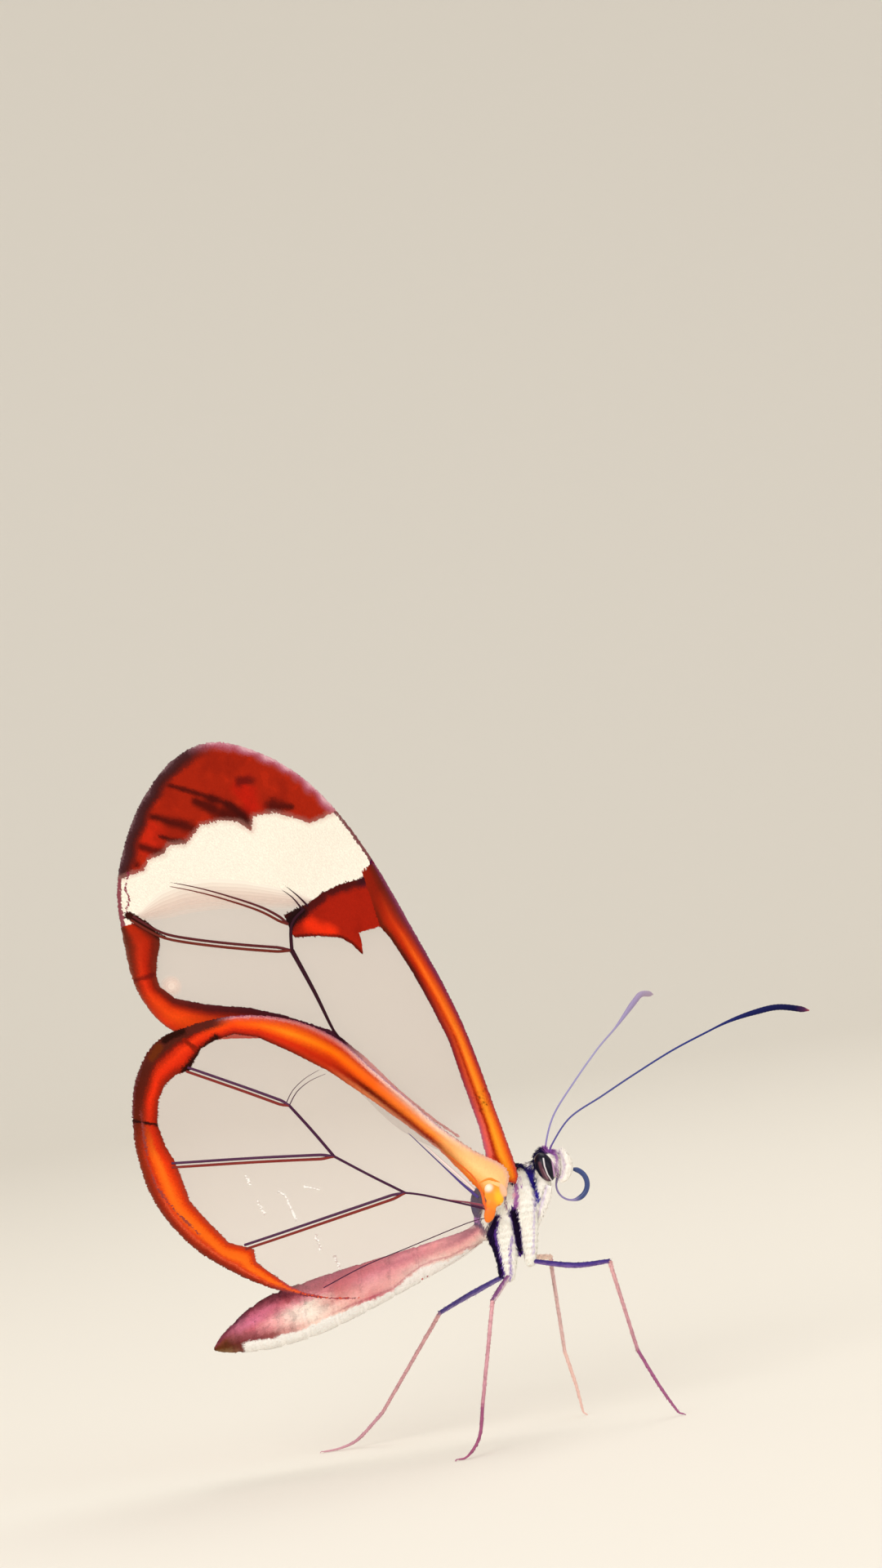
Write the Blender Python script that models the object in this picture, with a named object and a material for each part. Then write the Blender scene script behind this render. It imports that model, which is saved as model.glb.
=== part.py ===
"""Glasswing butterfly (Greta oto), life size, standing on four legs with its wings closed over its back.

The animal faces +X, its left side is +Y, and the floor under its feet is z = 0. All sizes are in
millimetres and are turned into metres when a mesh is made. Origin: the middle of the footprint.
"""

import math

import bmesh
import bpy
from mathutils import Matrix, Vector
from mathutils.geometry import delaunay_2d_cdt

MM = 0.001
GAP = 0.3  # clearance kept between neighbouring nodes
SIDES = {"right": -1, "left": 1}
SHARP_ANGLE = 40.0  # degrees, past which a face's edge is shaded sharp

# A rounded end: how far its point and its last ring stand past the path's end, and that ring's size
DOME_REACH, DOME_RING_REACH, DOME_RING_SIZE = 0.95, 0.65, 0.7

# Wings: outline and veins are (along, across) from the root, across growing towards the hind edge
WING_THICKNESS = 0.46
VEIN_HEIGHT = 0.15
RIM_SPACING = 1.15
VEIN_SPACING = 1.6
VEIN_TAPER = 0.4  # of its width that a vein loses towards the wing's edge
FIELD_SPACING = 2.1
FIELD_CLEARANCE = 0.5  # of the field's spacing, kept from the rim and the veins
MERGE = 0.02  # points of a wing's plan nearer than this become one
FAR_SHIFT = (0.2, -0.3)  # the left wings close a little behind and below the right ones

FOREWING_ROOT = (2.24, 13.92)
FOREWING_ANGLE = 115.9
FOREWING_OUTLINE = [
    (0.0, -0.1), (3.0, -0.95), (8.7, -2.35), (14.3, -3.0), (19.3, -3.35), (23.3, -3.0),
    (26.2, -1.9), (28.5, 0.0), (29.05, 2.3), (28.3, 4.8), (26.9, 7.0), (25.0, 8.9),
    (22.5, 10.2), (20.0, 11.1), (17.6, 11.0), (15.9, 9.9), (14.6, 8.0), (13.2, 6.1),
    (11.4, 4.6), (8.2, 3.6), (5.8, 2.5), (3.4, 1.05), (1.9, 0.6), (0.1, 0.35),
]  # fmt: skip
FOREWING_VEINS = {
    "costa": (0.55, [(0.8, -0.05), (5.8, -1.2), (11.4, -2.2), (17.0, -2.75), (22.5, -2.65), (26.6, -1.0)]),
    "radius": (0.5, [(1.3, 0.3), (5.7, -0.35), (10.4, -1.35), (15.3, -1.95), (18.4, -1.6)]),
    "sector": (0.4, [(18.4, -1.6), (22.5, -0.5), (26.0, 1.0), (28.2, 2.6)]),
    "cubitus": (0.5, [(1.6, 0.65), (6.0, 1.9), (9.5, 2.75), (12.1, 3.65), (14.6, 5.6), (17.1, 8.4),
                      (19.2, 10.3)]),
    "cell_end": (0.45, [(18.4, -1.6), (18.5, 0.9), (18.1, 2.3), (16.9, 3.1), (12.1, 3.65)]),
    "median": (0.35, [(18.1, 2.3), (21.3, 4.1), (23.8, 6.4), (25.0, 8.3)]),
    "lower_median": (0.4, [(16.9, 3.1), (19.2, 5.9), (21.1, 8.1), (22.6, 9.6)]),
    "apical": (0.35, [(18.5, 0.9), (22.6, 2.4), (26.6, 5.4)]),
}  # fmt: skip
FOREWING_LIFT = (1.66, 0.40, 5.2)  # from the midplane at the root and beyond it, and where it settles

HINDWING_ROOT = (0.40, 12.17)
HINDWING_ANGLE = 155.1
HINDWING_OUTLINE = [
    (-0.1, -2.2), (1.8, -2.95), (3.7, -3.35), (5.8, -4.3), (8.0, -5.5), (10.4, -6.7),
    (13.0, -7.0), (15.7, -6.5), (18.0, -5.4), (19.7, -4.0), (20.2, -2.0), (19.9, 0.0),
    (18.9, 2.2), (17.2, 4.3), (14.7, 6.0), (11.7, 6.85), (8.8, 6.95), (6.0, 6.4),
    (3.9, 5.3), (1.9, 3.8), (0.2, 2.0), (-0.3, 0.5),
]  # fmt: skip
HINDWING_VEINS = {
    "costa": (0.55, [(0.7, -1.9), (3.7, -2.85), (7.7, -4.75), (12.6, -6.1), (16.2, -5.5), (18.6, -3.4)]),
    "cell": (0.45, [(0.6, -0.3), (4.6, 0.1), (8.8, -0.7), (11.9, -2.7)]),
    "sector": (0.4, [(11.9, -2.7), (15.0, -3.0), (17.4, -3.0), (19.4, -3.1)]),
    "cross": (0.3, [(11.9, -2.7), (11.6, -3.8), (10.6, -4.9)]),
    "median": (0.4, [(8.8, -0.7), (13.0, 0.75), (16.9, 2.1), (18.2, 2.6)]),
    "cubitus": (0.4, [(4.6, 0.1), (8.4, 2.75), (12.1, 5.3), (12.9, 6.0)]),
    "anal": (0.4, [(0.5, 1.1), (3.7, 3.3), (5.7, 4.7), (7.5, 6.2)]),
}  # fmt: skip
HINDWING_LIFT = (2.10, 1.36, 10.0)
HINDWING_BULGE = 0.5  # how far the inner edge stands out round the abdomen
BULGE_ACROSS = (2.0, 6.0)
BULGE_ALONG = (9.5, 14.5)

# Body: (x, z, half width, half height) along the axis, and the abdomen's (x, z, half height)
THORAX = [
    (0.06, 11.34, 0.50, 0.60), (0.40, 11.65, 0.95, 1.10), (0.94, 12.14, 1.28, 1.55),
    (1.54, 12.67, 1.42, 1.78), (2.05, 13.13, 1.28, 1.58), (2.40, 13.44, 1.00, 1.16),
    (2.62, 13.64, 0.66, 0.72),
]  # fmt: skip
PROTHORAX = [(2.86, 13.90, 0.50, 0.54), (2.93, 13.97, 0.60, 0.62), (2.99, 14.02, 0.48, 0.46)]
ABDOMEN = [
    (-15.15, 7.15, 0.22), (-14.7, 7.32, 0.55), (-13.9, 7.60, 0.98), (-12.9, 7.88, 1.32),
    (-11.5, 8.18, 1.54), (-9.6, 8.52, 1.58), (-7.6, 8.98, 1.46), (-5.4, 9.52, 1.22),
    (-3.4, 10.05, 0.98), (-2.2, 10.38, 0.84), (-1.25, 10.68, 0.68),
]  # fmt: skip
ABDOMEN_WIDTH = 0.76  # of its height
ABDOMEN_SPACING = 0.55
SEGMENTS = 9
CREASE = 0.05  # how much narrower the abdomen is between two segments
THORAX_SIDES, PROTHORAX_SIDES, ABDOMEN_SIDES = 20, 16, 18

# Head
HEAD_CENTRE, HEAD_SIZE = (4.00, 14.20), (0.60, 0.80, 0.86)
HEAD_HALF_WIDTH = 0.45  # where the eyes sit on its sides
EYE_CENTRE, EYE_SIZE = (3.80, 14.20), (0.56, 0.52, 0.86)
EYE_TILT = 17.0
HEAD_SIDES, EYE_SIDES, BALL_RINGS = 18, 20, 12
PALP = [(4.85, 13.42), (5.08, 13.82), (5.16, 14.30), (5.10, 14.88)]
PALP_SIZES = [(0.20, 0.22), (0.24, 0.26), (0.24, 0.27), (0.12, 0.14)]
PALP_SIDE, PALP_SPACING = 0.48, 0.3
COIL_CENTRE, COIL_RADIUS = (5.15, 12.96), 0.84
COIL_FROM, COIL_TO = 172.0, 412.0
COIL_LENGTHS, COIL_STEPS = 3, 7
COIL_GAP = 30.0  # degrees between two lengths of the proboscis
COIL_THICK = (0.25, 0.15)
ANTENNAE = {
    "right": [
        (4.42, 15.42, -0.42), (5.60, 16.60, -0.70), (7.48, 17.51, -1.00), (9.34, 18.40, -1.30),
        (11.53, 19.37, -1.60), (13.45, 20.06, -1.90), (14.89, 20.52, -2.10), (16.34, 20.79, -2.30),
        (17.63, 20.86, -2.50), (19.15, 20.45, -2.70),
    ],
    "left": [
        (4.10, 15.42, 0.42), (4.80, 16.70, 2.40), (6.20, 18.17, 4.60), (7.81, 19.67, 6.80),
        (9.01, 20.61, 8.30), (10.28, 21.75, 10.20), (10.80, 22.10, 11.00), (11.45, 21.95, 12.00),
    ],
}  # fmt: skip
ANTENNA_THICK = (0.25, 0.30)  # stem and club
CLUB_FROM, CLUB_FULL, TIP_FROM = 0.72, 0.92, 0.95  # of the antenna's length
TIP_THIN = 0.5  # of the club's thickness that its tip loses
ANTENNA_SPACING = 0.95

# Legs: body end, trochanter, knee, ankle, then the foot along the floor
LEGS = {
    "mid_right": [(2.50, 10.72, -0.85), (2.31, 9.30, -0.95), (6.52, 8.87, -3.00), (7.25, 3.89, -3.10),
                  (8.16, 1.69, -2.90), (8.95, 0.20, -2.72), (9.30, 0.12, -2.66)],
    "mid_left": [(2.50, 10.72, 0.85), (2.31, 9.30, 0.95), (3.42, 8.85, 4.80), (3.42, 3.60, 4.60),
                 (3.75, 1.70, 4.40), (3.93, 0.20, 4.20), (4.10, 0.12, 4.10)],
    "hind_right": [(0.98, 10.30, -0.80), (1.03, 8.70, -0.95), (-0.03, 7.84, -4.90), (-1.39, 2.60, -6.50),
                   (-1.80, 1.04, -7.00), (-2.60, 0.18, -7.30), (-3.50, 0.12, -7.50)],
    "hind_left": [(0.98, 10.30, 0.80), (1.00, 8.62, 0.95), (-3.00, 6.91, 3.00), (-6.99, 1.80, 4.90),
                  (-8.55, 0.50, 5.35), (-9.60, 0.15, 5.40), (-11.05, 0.12, 5.45)],
}  # fmt: skip
COXA_THICK, COXA_SPACING = (0.48, 0.30), 0.5
LEG_THICK, LEG_SPACING = 0.26, 1.0
FOOT_THICK, FOOT_SPACING = 0.24, 0.5
CLAW_THIN = 0.8  # of the foot's thickness at its tip
LIMB_SIDES, BRUSH_SIDES = 8, 10
FORELEG = [(3.88, 12.86), (3.80, 12.36), (3.55, 11.80), (3.20, 11.15)]
FORELEG_SIZES = [(0.24, 0.30), (0.26, 0.34), (0.24, 0.28), (0.14, 0.16)]
FORELEG_SIDE, FORELEG_SPACING = 0.64, 0.45

MATERIALS = {
    "clear_wing": ((0.93, 0.86, 0.84), 0.25),
    "cream_body": ((0.90, 0.86, 0.80), 0.75),
    "dark_body": ((0.16, 0.09, 0.14), 0.65),
    "mauve_abdomen": ((0.38, 0.22, 0.26), 0.70),
    "eye_brown": ((0.05, 0.03, 0.03), 0.12),
    "leg_violet": ((0.32, 0.20, 0.30), 0.60),
    "antenna_blue": ((0.10, 0.12, 0.28), 0.50),
    "tongue_indigo": ((0.12, 0.13, 0.32), 0.35),
}


def ease(value):
    """0 to 1 with a level start and end."""
    t = min(max(value, 0.0), 1.0)
    return t * t * (3 - 2 * t)


def between(value, low, high):
    return ease((value - low) / (high - low))


def flat(points):
    """(x, z) points in the midplane as vectors."""
    return [Vector((x, 0.0, z)) for x, z in points]


def spline(points, spacing, loop=False):
    """Points at about even spacing on a smooth curve through the given ones."""
    last = len(points)
    curve = []
    for i in range(last if loop else last - 1):
        if loop:
            p0, p1, p2, p3 = (points[(i + k) % last] for k in (-1, 0, 1, 2))
        else:
            p0, p1, p2, p3 = (points[min(max(i + k, 0), last - 1)] for k in (-1, 0, 1, 2))
        steps = max(1, round((p2 - p1).length / spacing))
        for k in range(steps):
            t = k / steps
            curve.append(
                0.5 * (2 * p1 + (p2 - p0) * t + (2 * p0 - 5 * p1 + 4 * p2 - p3) * t**2
                       + (3 * p1 - p0 - 3 * p2 + p3) * t**3)
            )  # fmt: skip
    if not loop:
        curve.append(points[-1].copy())
    return curve


def taper(values, path):
    """The given values spread evenly along a path, one for each of its points."""
    sizes = []
    for i in range(len(path)):
        place = i / (len(path) - 1) * (len(values) - 1)
        low = min(int(place), len(values) - 2)
        sizes.append(values[low] + (values[low + 1] - values[low]) * (place - low))
    return sizes


def material(name):
    colour, roughness = MATERIALS[name]
    made = bpy.data.materials.get(name) or bpy.data.materials.new(name)
    made.use_nodes = True
    shader = made.node_tree.nodes["Principled BSDF"]
    shader.inputs["Base Color"].default_value = (*colour, 1.0)
    shader.inputs["Roughness"].default_value = roughness
    shader.inputs["Metallic"].default_value = 0.0
    return made


def node(name, points, faces, finish):
    """One named object, its origin at its first point, hung on the whole animal's empty."""
    origin = points[0]
    mesh = bpy.data.meshes.new(name)
    mesh.from_pydata([(p - origin) * MM for p in points], [], faces)
    mesh.materials.append(material(finish))
    mesh.shade_smooth()
    mesh.set_sharp_from_angle(angle=math.radians(SHARP_ANGLE))
    made = bpy.data.objects.new(name, mesh)
    made.location = origin * MM
    made.parent = bpy.data.objects["butterfly"]
    bpy.context.scene.collection.objects.link(made)
    return made


def loft(path, widths, heights, sides, dome=(True, True)):
    """A closed round body along a path. A domed end is rounded off past the path's end."""
    rings, across = [], None
    for i, point in enumerate(path):
        along = (path[min(i + 1, len(path) - 1)] - path[max(i - 1, 0)]).normalized()
        if across is None:
            across = Vector((0, 1, 0)) if abs(along.y) < 0.9 else Vector((0, 0, 1))
        across = (across - along * across.dot(along)).normalized()
        rings.append((point, along, across, widths[i], heights[i]))
    ends = []
    for which, (point, along, side, wide, high) in enumerate((rings[0], rings[-1])):
        out = along if which else -along
        reach = min(wide, high)
        ends.append(point + out * reach * (DOME_REACH if dome[which] else 0.0))
        if dome[which]:
            place = point + out * reach * DOME_RING_REACH
            cap = (place, along, side, wide * DOME_RING_SIZE, high * DOME_RING_SIZE)
            rings = rings + [cap] if which else [cap] + rings
    points = []
    for point, along, side, wide, high in rings:
        up = side.cross(along)
        for k in range(sides):
            turn = 2 * math.pi * (k + 0.5) / sides
            points.append(point + side * wide * math.cos(turn) + up * high * math.sin(turn))
    faces = []
    for ring in range(len(rings) - 1):
        for k in range(sides):
            a, b = ring * sides + k, ring * sides + (k + 1) % sides
            faces.append((a, b, b + sides, a + sides))
    first, last = len(points), len(points) + 1
    points += ends
    top = (len(rings) - 1) * sides
    for k in range(sides):
        faces.append((first, (k + 1) % sides, k))
        faces.append((last, top + k, top + (k + 1) % sides))
    return points, [tuple(reversed(face)) for face in faces]


def body_stations(stations):
    return flat([s[:2] for s in stations]), [s[2] for s in stations], [s[3] for s in stations]


def cut_flat(made, point, normal):
    """Cuts a node by a plane, given in the animal's frame, and closes it with a flat face."""
    work = bmesh.new()
    work.from_mesh(made.data)
    geometry = work.verts[:] + work.edges[:] + work.faces[:]
    place = point * MM - made.location
    cut = bmesh.ops.bisect_plane(work, geom=geometry, plane_co=place, plane_no=normal, clear_outer=True)
    edges = [e for e in cut["geom_cut"] if isinstance(e, bmesh.types.BMEdge)]
    bmesh.ops.contextual_create(work, geom=edges)
    work.to_mesh(made.data)
    work.free()


def place_in_wing(root, angle, along, across):
    """Wing coordinates as x and z in the animal's frame."""
    turn = math.radians(angle)
    x = root[0] + along * math.cos(turn) - across * math.sin(turn)
    z = root[1] + along * math.sin(turn) + across * math.cos(turn)
    return x, z


def forewing_lift(along, across):
    root, beyond, settled = FOREWING_LIFT
    return beyond + (root - beyond) * (1 - ease(along / settled))


def hindwing_lift(along, across):
    """The hindwing lies outside the forewing and stands out round the abdomen's side."""
    root, beyond, settled = HINDWING_LIFT
    bulge = between(across, *BULGE_ACROSS) * (1 - between(along, *BULGE_ALONG))
    return beyond + (root - beyond) * (1 - ease(along / settled)) + HINDWING_BULGE * bulge


def vein_lines(veins):
    """Each vein's crest and its half width along it, which tapers towards the wing's edge."""
    lines = []
    for width, points in veins.values():
        crest = spline([Vector(p) for p in points], VEIN_SPACING)
        last = len(crest) - 1
        lines.append([(p, width / 2 * (1 - VEIN_TAPER * i / last)) for i, p in enumerate(crest)])
    return lines


def vein_rise(point, lines):
    """How high the membrane's outer face stands over its plain surface."""
    rise = 0.0
    for line in lines:
        for (a, wide_a), (b, wide_b) in zip(line, line[1:]):
            step = b - a
            share = min(max((point - a).dot(step) / step.length_squared, 0.0), 1.0)
            wide = wide_a + (wide_b - wide_a) * share
            rise = max(rise, 1 - (point - a - step * share).length / wide)
    return VEIN_HEIGHT * rise


def wing_triangles(outline, lines):
    """The wing split into triangles, with edges along its outline and along each vein."""
    rim = spline([Vector(p) for p in outline], RIM_SPACING, loop=True)
    points, edges = list(rim), [(i, (i + 1) % len(rim)) for i in range(len(rim))]
    for line in lines:
        for side in (0, 1, -1):
            start = len(points)
            for i, (p, wide) in enumerate(line):
                step = line[min(i + 1, len(line) - 1)][0] - line[max(i - 1, 0)][0]
                normal = Vector((-step.y, step.x)).normalized()
                points.append(p + normal * wide * side)
            edges += [(k, k + 1) for k in range(start, len(points) - 1)]
    fixed = list(points)
    low = [min(p[axis] for p in rim) for axis in (0, 1)]
    high = [max(p[axis] for p in rim) for axis in (0, 1)]
    rows = int((high[1] - low[1]) / FIELD_SPACING)
    columns = int((high[0] - low[0]) / FIELD_SPACING)
    for row in range(1, rows + 1):
        for column in range(1, columns + 1):
            shift = 0.5 * (row % 2)
            p = Vector((low[0] + (column + shift) * FIELD_SPACING, low[1] + row * FIELD_SPACING))
            clear = min((p - q).length for q in fixed) > FIELD_SPACING * FIELD_CLEARANCE
            if clear and inside(p, rim):
                points.append(p)
    plan, _, triangles, *_ = delaunay_2d_cdt(points, edges, [], 1, MERGE)
    return plan, triangles


def inside(point, rim):
    """True if an upright line from the point crosses the rim an odd number of times."""
    odd = False
    for a, b in zip(rim, rim[1:] + rim[:1]):
        if (a.y > point.y) != (b.y > point.y):
            if point.x < a.x + (b.x - a.x) * (point.y - a.y) / (b.y - a.y):
                odd = not odd
    return odd


def wing(name, side, root, angle, outline, veins, lift):
    """A membrane split alike on both faces, with its veins raised on the outer one."""
    lines = vein_lines(veins)
    plan, triangles = wing_triangles(outline, lines)
    shift = FAR_SHIFT if side > 0 else (0.0, 0.0)
    points = []
    for outer in (True, False):
        for p in plan:
            x, z = place_in_wing(root, angle, p.x, p.y)
            face = WING_THICKNESS / 2 + vein_rise(p, lines) if outer else -WING_THICKNESS / 2
            points.append(Vector((x + shift[0], side * (lift(p.x, p.y) + face), z + shift[1])))
    count = len(plan)
    uses = {}
    for a, b, c in triangles:
        for edge in ((a, b), (b, c), (c, a)):
            uses[edge] = uses.get(edge, 0) + 1
    faces = [tuple(t) for t in triangles] + [(c + count, b + count, a + count) for a, b, c in triangles]
    for a, b in uses:
        if (b, a) not in uses:
            faces += [(b, a, a + count), (b, a + count, b + count)]
    if side > 0:
        faces = [tuple(reversed(face)) for face in faces]
    return node(name, points, faces, "clear_wing")


def make_wings():
    for name, side in SIDES.items():
        wing(f"forewing_{name}", side, FOREWING_ROOT, FOREWING_ANGLE,
             FOREWING_OUTLINE, FOREWING_VEINS, forewing_lift)  # fmt: skip
        wing(f"hindwing_{name}", side, HINDWING_ROOT, HINDWING_ANGLE,
             HINDWING_OUTLINE, HINDWING_VEINS, hindwing_lift)  # fmt: skip


def make_trunk():
    """Thorax, collar and the abdomen with its ringed segments."""
    node("thorax", *loft(*body_stations(THORAX), THORAX_SIDES, (True, False)), "cream_body")
    node("prothorax", *loft(*body_stations(PROTHORAX), PROTHORAX_SIDES, (False, False)), "dark_body")
    curve = spline([Vector((x, high, z)) for x, z, high in ABDOMEN], ABDOMEN_SPACING)
    axis = flat([(p.x, p.z) for p in curve])
    heights = []
    for i, p in enumerate(curve):
        turn = 2 * math.pi * SEGMENTS * i / (len(curve) - 1)
        heights.append(p.y * (1 - CREASE * (0.5 + 0.5 * math.cos(turn))))
    widths = [high * ABDOMEN_WIDTH for high in heights]
    node("abdomen", *loft(axis, widths, heights, ABDOMEN_SIDES), "mauve_abdomen")


def ellipsoid(centre, size, sides):
    """An ellipsoid whose upper end is leant back by the eyes' tilt."""
    lean = Matrix.Rotation(math.radians(-EYE_TILT), 3, "Y")
    angles = [math.pi * i / BALL_RINGS for i in range(1, BALL_RINGS)]
    points, faces = [], []
    for angle in angles:
        for k in range(sides):
            turn = 2 * math.pi * k / sides
            flat_out = math.sin(angle)
            out = Vector((flat_out * math.cos(turn), flat_out * math.sin(turn), math.cos(angle)))
            points.append(centre + lean @ (out * Vector(size)))
    for ring in range(BALL_RINGS - 2):
        for k in range(sides):
            a, b = ring * sides + k, ring * sides + (k + 1) % sides
            faces.append((a, a + sides, b + sides, b))
    top, bottom = len(points), len(points) + 1
    points += [centre + lean @ Vector((0, 0, size[2])), centre + lean @ Vector((0, 0, -size[2]))]
    low = (BALL_RINGS - 2) * sides
    for k in range(sides):
        faces.append((top, k, (k + 1) % sides))
        faces.append((bottom, low + (k + 1) % sides, low + k))
    return points, faces


def make_head():
    """Head capsule with its eyes set against its sides, the palps and the coiled proboscis."""
    centre = Vector((HEAD_CENTRE[0], 0, HEAD_CENTRE[1]))
    head = node("head", *ellipsoid(centre, HEAD_SIZE, HEAD_SIDES), "dark_body")
    for side in SIDES.values():
        cut_flat(head, Vector((0, side * HEAD_HALF_WIDTH, 0)), Vector((0, side, 0)))
    for name, side in SIDES.items():
        inner = HEAD_HALF_WIDTH + GAP
        centre = Vector((EYE_CENTRE[0], side * inner, EYE_CENTRE[1]))
        eye = node(f"eye_{name}", *ellipsoid(centre, EYE_SIZE, EYE_SIDES), "eye_brown")
        cut_flat(eye, Vector((0, side * inner, 0)), Vector((0, -side, 0)))
        brush(f"palp_{name}", PALP, PALP_SIZES, side * PALP_SIDE, PALP_SPACING)
    make_proboscis()
    for name, points in ANTENNAE.items():
        make_antenna(name, [Vector((x, y, z)) for x, z, y in points])


def brush(name, line, sizes, side, spacing):
    """A short hairy spindle, such as a palp or a folded foreleg, beside the midplane."""
    path = [p + Vector((0, side, 0)) for p in spline(flat(line), spacing)]
    widths = taper([wide for wide, _ in sizes], path)
    heights = taper([high for _, high in sizes], path)
    node(name, *loft(path, widths, heights, BRUSH_SIDES), "cream_body")


def make_proboscis():
    """The tongue, coiled once under the palps and parted into equal lengths."""
    sweep = (COIL_TO - COIL_FROM - COIL_GAP * (COIL_LENGTHS - 1)) / COIL_LENGTHS
    for length in range(COIL_LENGTHS):
        start = COIL_FROM + length * (sweep + COIL_GAP)
        path, thick = [], []
        for step in range(COIL_STEPS + 1):
            turn = start + sweep * step / COIL_STEPS
            angle = math.radians(turn)
            path.append(Vector((COIL_CENTRE[0] + COIL_RADIUS * math.cos(angle), 0,
                                COIL_CENTRE[1] + COIL_RADIUS * math.sin(angle))))  # fmt: skip
            thinned = between(turn, (COIL_FROM + COIL_TO) / 2, COIL_TO)
            thick.append(COIL_THICK[0] + (COIL_THICK[1] - COIL_THICK[0]) * thinned)
        tip = length == COIL_LENGTHS - 1
        limb(f"proboscis_{length + 1}", path, thick, "tongue_indigo", (False, tip))


def make_antenna(name, points):
    """A slim stem that swells into the long club at its end."""
    path = spline(points, ANTENNA_SPACING)
    stem, club = ANTENNA_THICK
    thick = []
    for i in range(len(path)):
        share = i / (len(path) - 1)
        swell = stem + (club - stem) * between(share, CLUB_FROM, CLUB_FULL)
        thick.append(swell * (1 - TIP_THIN * between(share, TIP_FROM, 1.0)))
    limb(f"antenna_{name}", path, thick, "antenna_blue", (False, True))


def limb(name, path, thick, finish, dome):
    return node(name, *loft(path, thick, thick, LIMB_SIDES, dome), finish)


def make_leg(name, points):
    """Coxa, femur, tibia and tarsus, each starting a clearance past the joint before it."""
    hip, trochanter, knee, ankle = points[:4]
    path = spline([hip, trochanter], COXA_SPACING)
    limb(f"coxa_{name}", path, taper(COXA_THICK, path), "cream_body", (False, True))
    joints = [(trochanter, knee, COXA_THICK[1], "femur"), (knee, ankle, LEG_THICK, "tibia")]
    for start, end, before, part in joints:
        first = start + (end - start).normalized() * (before + GAP)
        path = spline([first, end], LEG_SPACING)
        limb(f"{part}_{name}", path, [LEG_THICK] * len(path), "leg_violet", (False, True))
    foot = points[3:]
    foot[0] = ankle + (foot[1] - ankle).normalized() * (LEG_THICK + GAP)
    path = spline(foot, FOOT_SPACING)
    thick = [FOOT_THICK] * (len(path) - 1) + [FOOT_THICK * CLAW_THIN]
    tarsus = limb(f"tarsus_{name}", path, thick, "leg_violet", (False, True))
    cut_flat(tarsus, Vector((0, 0, 0)), Vector((0, 0, -1)))


def make_forelegs():
    """The small brush-like forelegs, folded up against the chest."""
    for name, side in SIDES.items():
        brush(f"foreleg_{name}", FORELEG, FORELEG_SIZES, side * FORELEG_SIDE, FORELEG_SPACING)


def centre_on_footprint(animal):
    """Moves the animal so that the middle of its box is over the origin."""
    bpy.context.view_layer.update()
    corners = [child.matrix_world @ v.co for child in animal.children for v in child.data.vertices]
    for axis in (0, 1):
        values = [corner[axis] for corner in corners]
        animal.location[axis] = -(min(values) + max(values)) / 2


def main():
    for obj in list(bpy.data.objects):
        bpy.data.objects.remove(obj)
    animal = bpy.data.objects.new("butterfly", None)
    bpy.context.scene.collection.objects.link(animal)
    make_trunk()
    make_head()
    make_wings()
    for name, points in LEGS.items():
        make_leg(name, [Vector((x, y, z)) for x, z, y in points])
    make_forelegs()
    centre_on_footprint(animal)


main()
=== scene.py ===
"""Glasswing butterfly (Greta oto), life size: the finish of every part of it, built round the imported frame.

Sizes are in millimetres in the animal's own frame, x forward, y to its left, z up, with the floor at z = 0
and its midplane at y = 0. place() turns them into the frame's metres.
"""

import math

import bpy
import numpy as np
from mathutils import Matrix, Vector, noise
from mathutils.geometry import delaunay_2d_cdt


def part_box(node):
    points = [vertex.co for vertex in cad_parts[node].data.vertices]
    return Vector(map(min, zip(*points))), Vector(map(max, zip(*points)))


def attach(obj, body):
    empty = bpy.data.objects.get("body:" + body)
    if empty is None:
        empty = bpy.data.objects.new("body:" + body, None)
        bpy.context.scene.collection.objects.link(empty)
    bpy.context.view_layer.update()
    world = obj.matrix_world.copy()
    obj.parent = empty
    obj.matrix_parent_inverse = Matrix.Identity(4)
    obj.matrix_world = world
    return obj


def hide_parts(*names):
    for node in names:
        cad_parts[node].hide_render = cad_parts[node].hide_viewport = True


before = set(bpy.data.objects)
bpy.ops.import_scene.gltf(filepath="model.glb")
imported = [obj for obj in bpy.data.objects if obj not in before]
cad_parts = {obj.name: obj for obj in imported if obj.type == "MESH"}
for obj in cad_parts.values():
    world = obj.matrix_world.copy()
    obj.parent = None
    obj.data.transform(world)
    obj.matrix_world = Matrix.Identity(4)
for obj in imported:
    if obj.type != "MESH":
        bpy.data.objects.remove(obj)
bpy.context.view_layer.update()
bpy.ops.object.select_all(action="DESELECT")
scene = bpy.context.scene

# The studio: a camera at the photo's height and tilt, 300 mm off with a long lens, in front of one pale
# sheet of card that lies flat under the feet and curves up behind, lit by large soft boxes.
MM = 0.001
HEAD_CENTRE = (4.0, 14.2)
SIDES = {"right": -1, "left": 1}
head_low, head_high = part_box("head")
ORIGIN = np.array([
    (head_low.x + head_high.x) / 2 - HEAD_CENTRE[0] * MM,
    (head_low.y + head_high.y) / 2,
    0.0,
])


def place(points):
    """Points of the animal's frame, in mm, as places in the scene, in metres."""
    return np.asarray(points, float) * MM + ORIGIN


def rgb(code):
    """A colour written as rrggbb, as linear red, green and blue."""
    shown = np.array([int(code[i:i + 2], 16) / 255 for i in (0, 2, 4)])
    return np.where(shown <= 0.04045, shown / 12.92, ((shown + 0.055) / 1.055) ** 2.4)


def add_object(name, data):
    made = bpy.data.objects.new(name, data)
    scene.collection.objects.link(made)
    return made


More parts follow.
